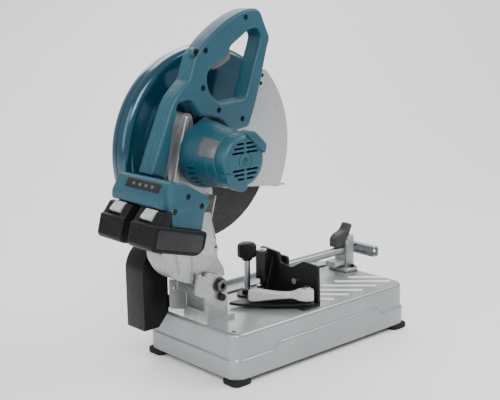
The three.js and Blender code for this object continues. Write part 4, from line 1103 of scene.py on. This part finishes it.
edgeSizes = {
    1.6: [
        "foot_rear_near", "foot_front_near", "foot_rear_far", "foot_front_far", "head_casting"],
    0.8: [
        "pivot_bracket", "vise_bracket", "vise_jaw"],
    0.7: [
        "guide_plate"],
    1.2: [
        "lock_lever"],
    0.6: [
        "lever_blade", "crank"],
    0.9: [
        "nut_lever", "gear_cover", "trigger", "release_button_near", "release_button_far"],
    0.4: [
        "front_guard", "cutting_wheel"],
    0.5: [
        "pivot_nut"]}
finishOf = {name: finish for finish, names in keptFinish.items() for name in names}
edgeOf = {name: size for size, names in edgeSizes.items() for name in names}


def keepNode(name):
    node = nodes[name]
    node.data.materials.clear()
    node.data.materials.append(materials[finishOf[name]])
    node.data.shade_smooth()
    node.data.set_sharp_from_angle(angle=math.radians(32))
    if name in edgeOf:
        bevel = node.modifiers.new("edge", "BEVEL")
        bevel.width = edgeOf[name] * 0.001
        bevel.segments = 3
        bevel.limit_method = "ANGLE"
        bevel.angle_limit = math.radians(34)
        bevel.harden_normals = False


replacedNodes = {
    "base_pan", "handle_near", "handle_far", "motor_housing", "motor_end_cap", "guard_near_shell",
    "guard_far_shell",
    "battery_mount", "battery_pack_near", "battery_pack_far", "vise_screw", "clamp_knob", "spark_box"}
for nodeName in nodes:
    if nodeName not in replacedNodes:
        keepNode(nodeName)
print("kept nodes finished")

# Camera, floor and soft studio light.
cameraView = dict(place=(-1107.5, -1278.4, 716.6), right=(0.7419, -0.6702, -0.0153), up=(0.1562, 0.1506,
    0.9762),
                  back=(-0.6520, -0.7267, 0.2164), lens=73.5)


def makeCamera():
    c = cameraView
    data = bpy.data.cameras.new("camera")
    data.lens = c["lens"]
    data.sensor_width = 36
    data.clip_end = 50
    camera = bpy.data.objects.new("camera", data)
    bpy.context.scene.collection.objects.link(camera)
    columns = Matrix((c["right"], c["up"], c["back"])).transposed().to_4x4()
    camera.matrix_world = Matrix.Translation(at(*c["place"])) @ columns
    bpy.context.scene.camera = camera


def makeFloor():
    bm = bmesh.new()
    rows = []
    for j in range(41):
        t = j / 40
        run = 5.2 * t
        bend = max(0, run - 2.6)
        turn = min(bend / 1.2, math.pi / 2)
        far = min(run, 2.6) + 1.2 * math.sin(turn)
        height = 1.2 * (1 - math.cos(turn)) + max(0, bend - 1.2 * math.pi / 2) * 2.6
        rows.append([bm.verts.new((side, far - 1.2, height)) for side in (-9, -4, 0, 4, 9)])
    for first, second in zip(rows, rows[1:]):
        for k in range(4):
            bm.faces.new((first[k], first[k + 1], second[k + 1], second[k]))
    base = [bm.verts.new((side, -9, 0)) for side in (-9, -4, 0, 4, 9)]
    for k in range(4):
        bm.faces.new((base[k], base[k + 1], rows[0][k + 1], rows[0][k]))
    floor = meshObject("floor", bm)
    floor.data.transform(Matrix.Rotation(-0.73, 4, "Z"))
    floor.data.shade_smooth()
    surface = bpy.data.materials.new("floorPaper")
    surface.use_nodes = True
    tree = surface.node_tree.nodes
    shader = tree["Principled BSDF"]
    noise = tree.new("ShaderNodeTexNoise")
    noise.inputs["Scale"].default_value = 40
    tone = tree.new("ShaderNodeMapRange")
    tone.inputs["To Min"].default_value = 0.55
    tone.inputs["To Max"].default_value = 0.65
    surface.node_tree.links.new(noise.outputs["Fac"], tone.inputs["Value"])
    surface.node_tree.links.new(tone.outputs["Result"], shader.inputs["Roughness"])
    shader.inputs["Base Color"].default_value = (0.97, 0.97, 0.97, 1)
    floor.data.materials.append(surface)


lights = [
    dict(name="keyLight", place=(-1500, -1700, 2300), power=74, size=1.6),
    dict(name="fillLight", place=(-2400, 300, 1300), power=26, size=1.8),
    dict(name="rimLight", place=(1500, -900, 1900), power=36, size=1.4),
    dict(name="backLight", place=(900, 1800, 1800), power=24, size=1.6)]


def makeLights():
    target = at(150, 120, 300)
    for entry in lights:
        data = bpy.data.lights.new(entry["name"], "AREA")
        data.energy = entry["power"]
        data.size = entry["size"]
        lamp = bpy.data.objects.new(entry["name"], data)
        bpy.context.scene.collection.objects.link(lamp)
        lamp.location = at(*entry["place"])
        lamp.rotation_euler = (target - lamp.location).to_track_quat("-Z", "Y").to_euler()
    world = bpy.data.worlds.new("studio")
    world.use_nodes = True
    world.node_tree.nodes["Background"].inputs["Color"].default_value = (0.95, 0.97, 1, 1)
    world.node_tree.nodes["Background"].inputs["Strength"].default_value = 0.62
    bpy.context.scene.world = world


makeCamera()
makeFloor()
makeLights()
print("stage built")
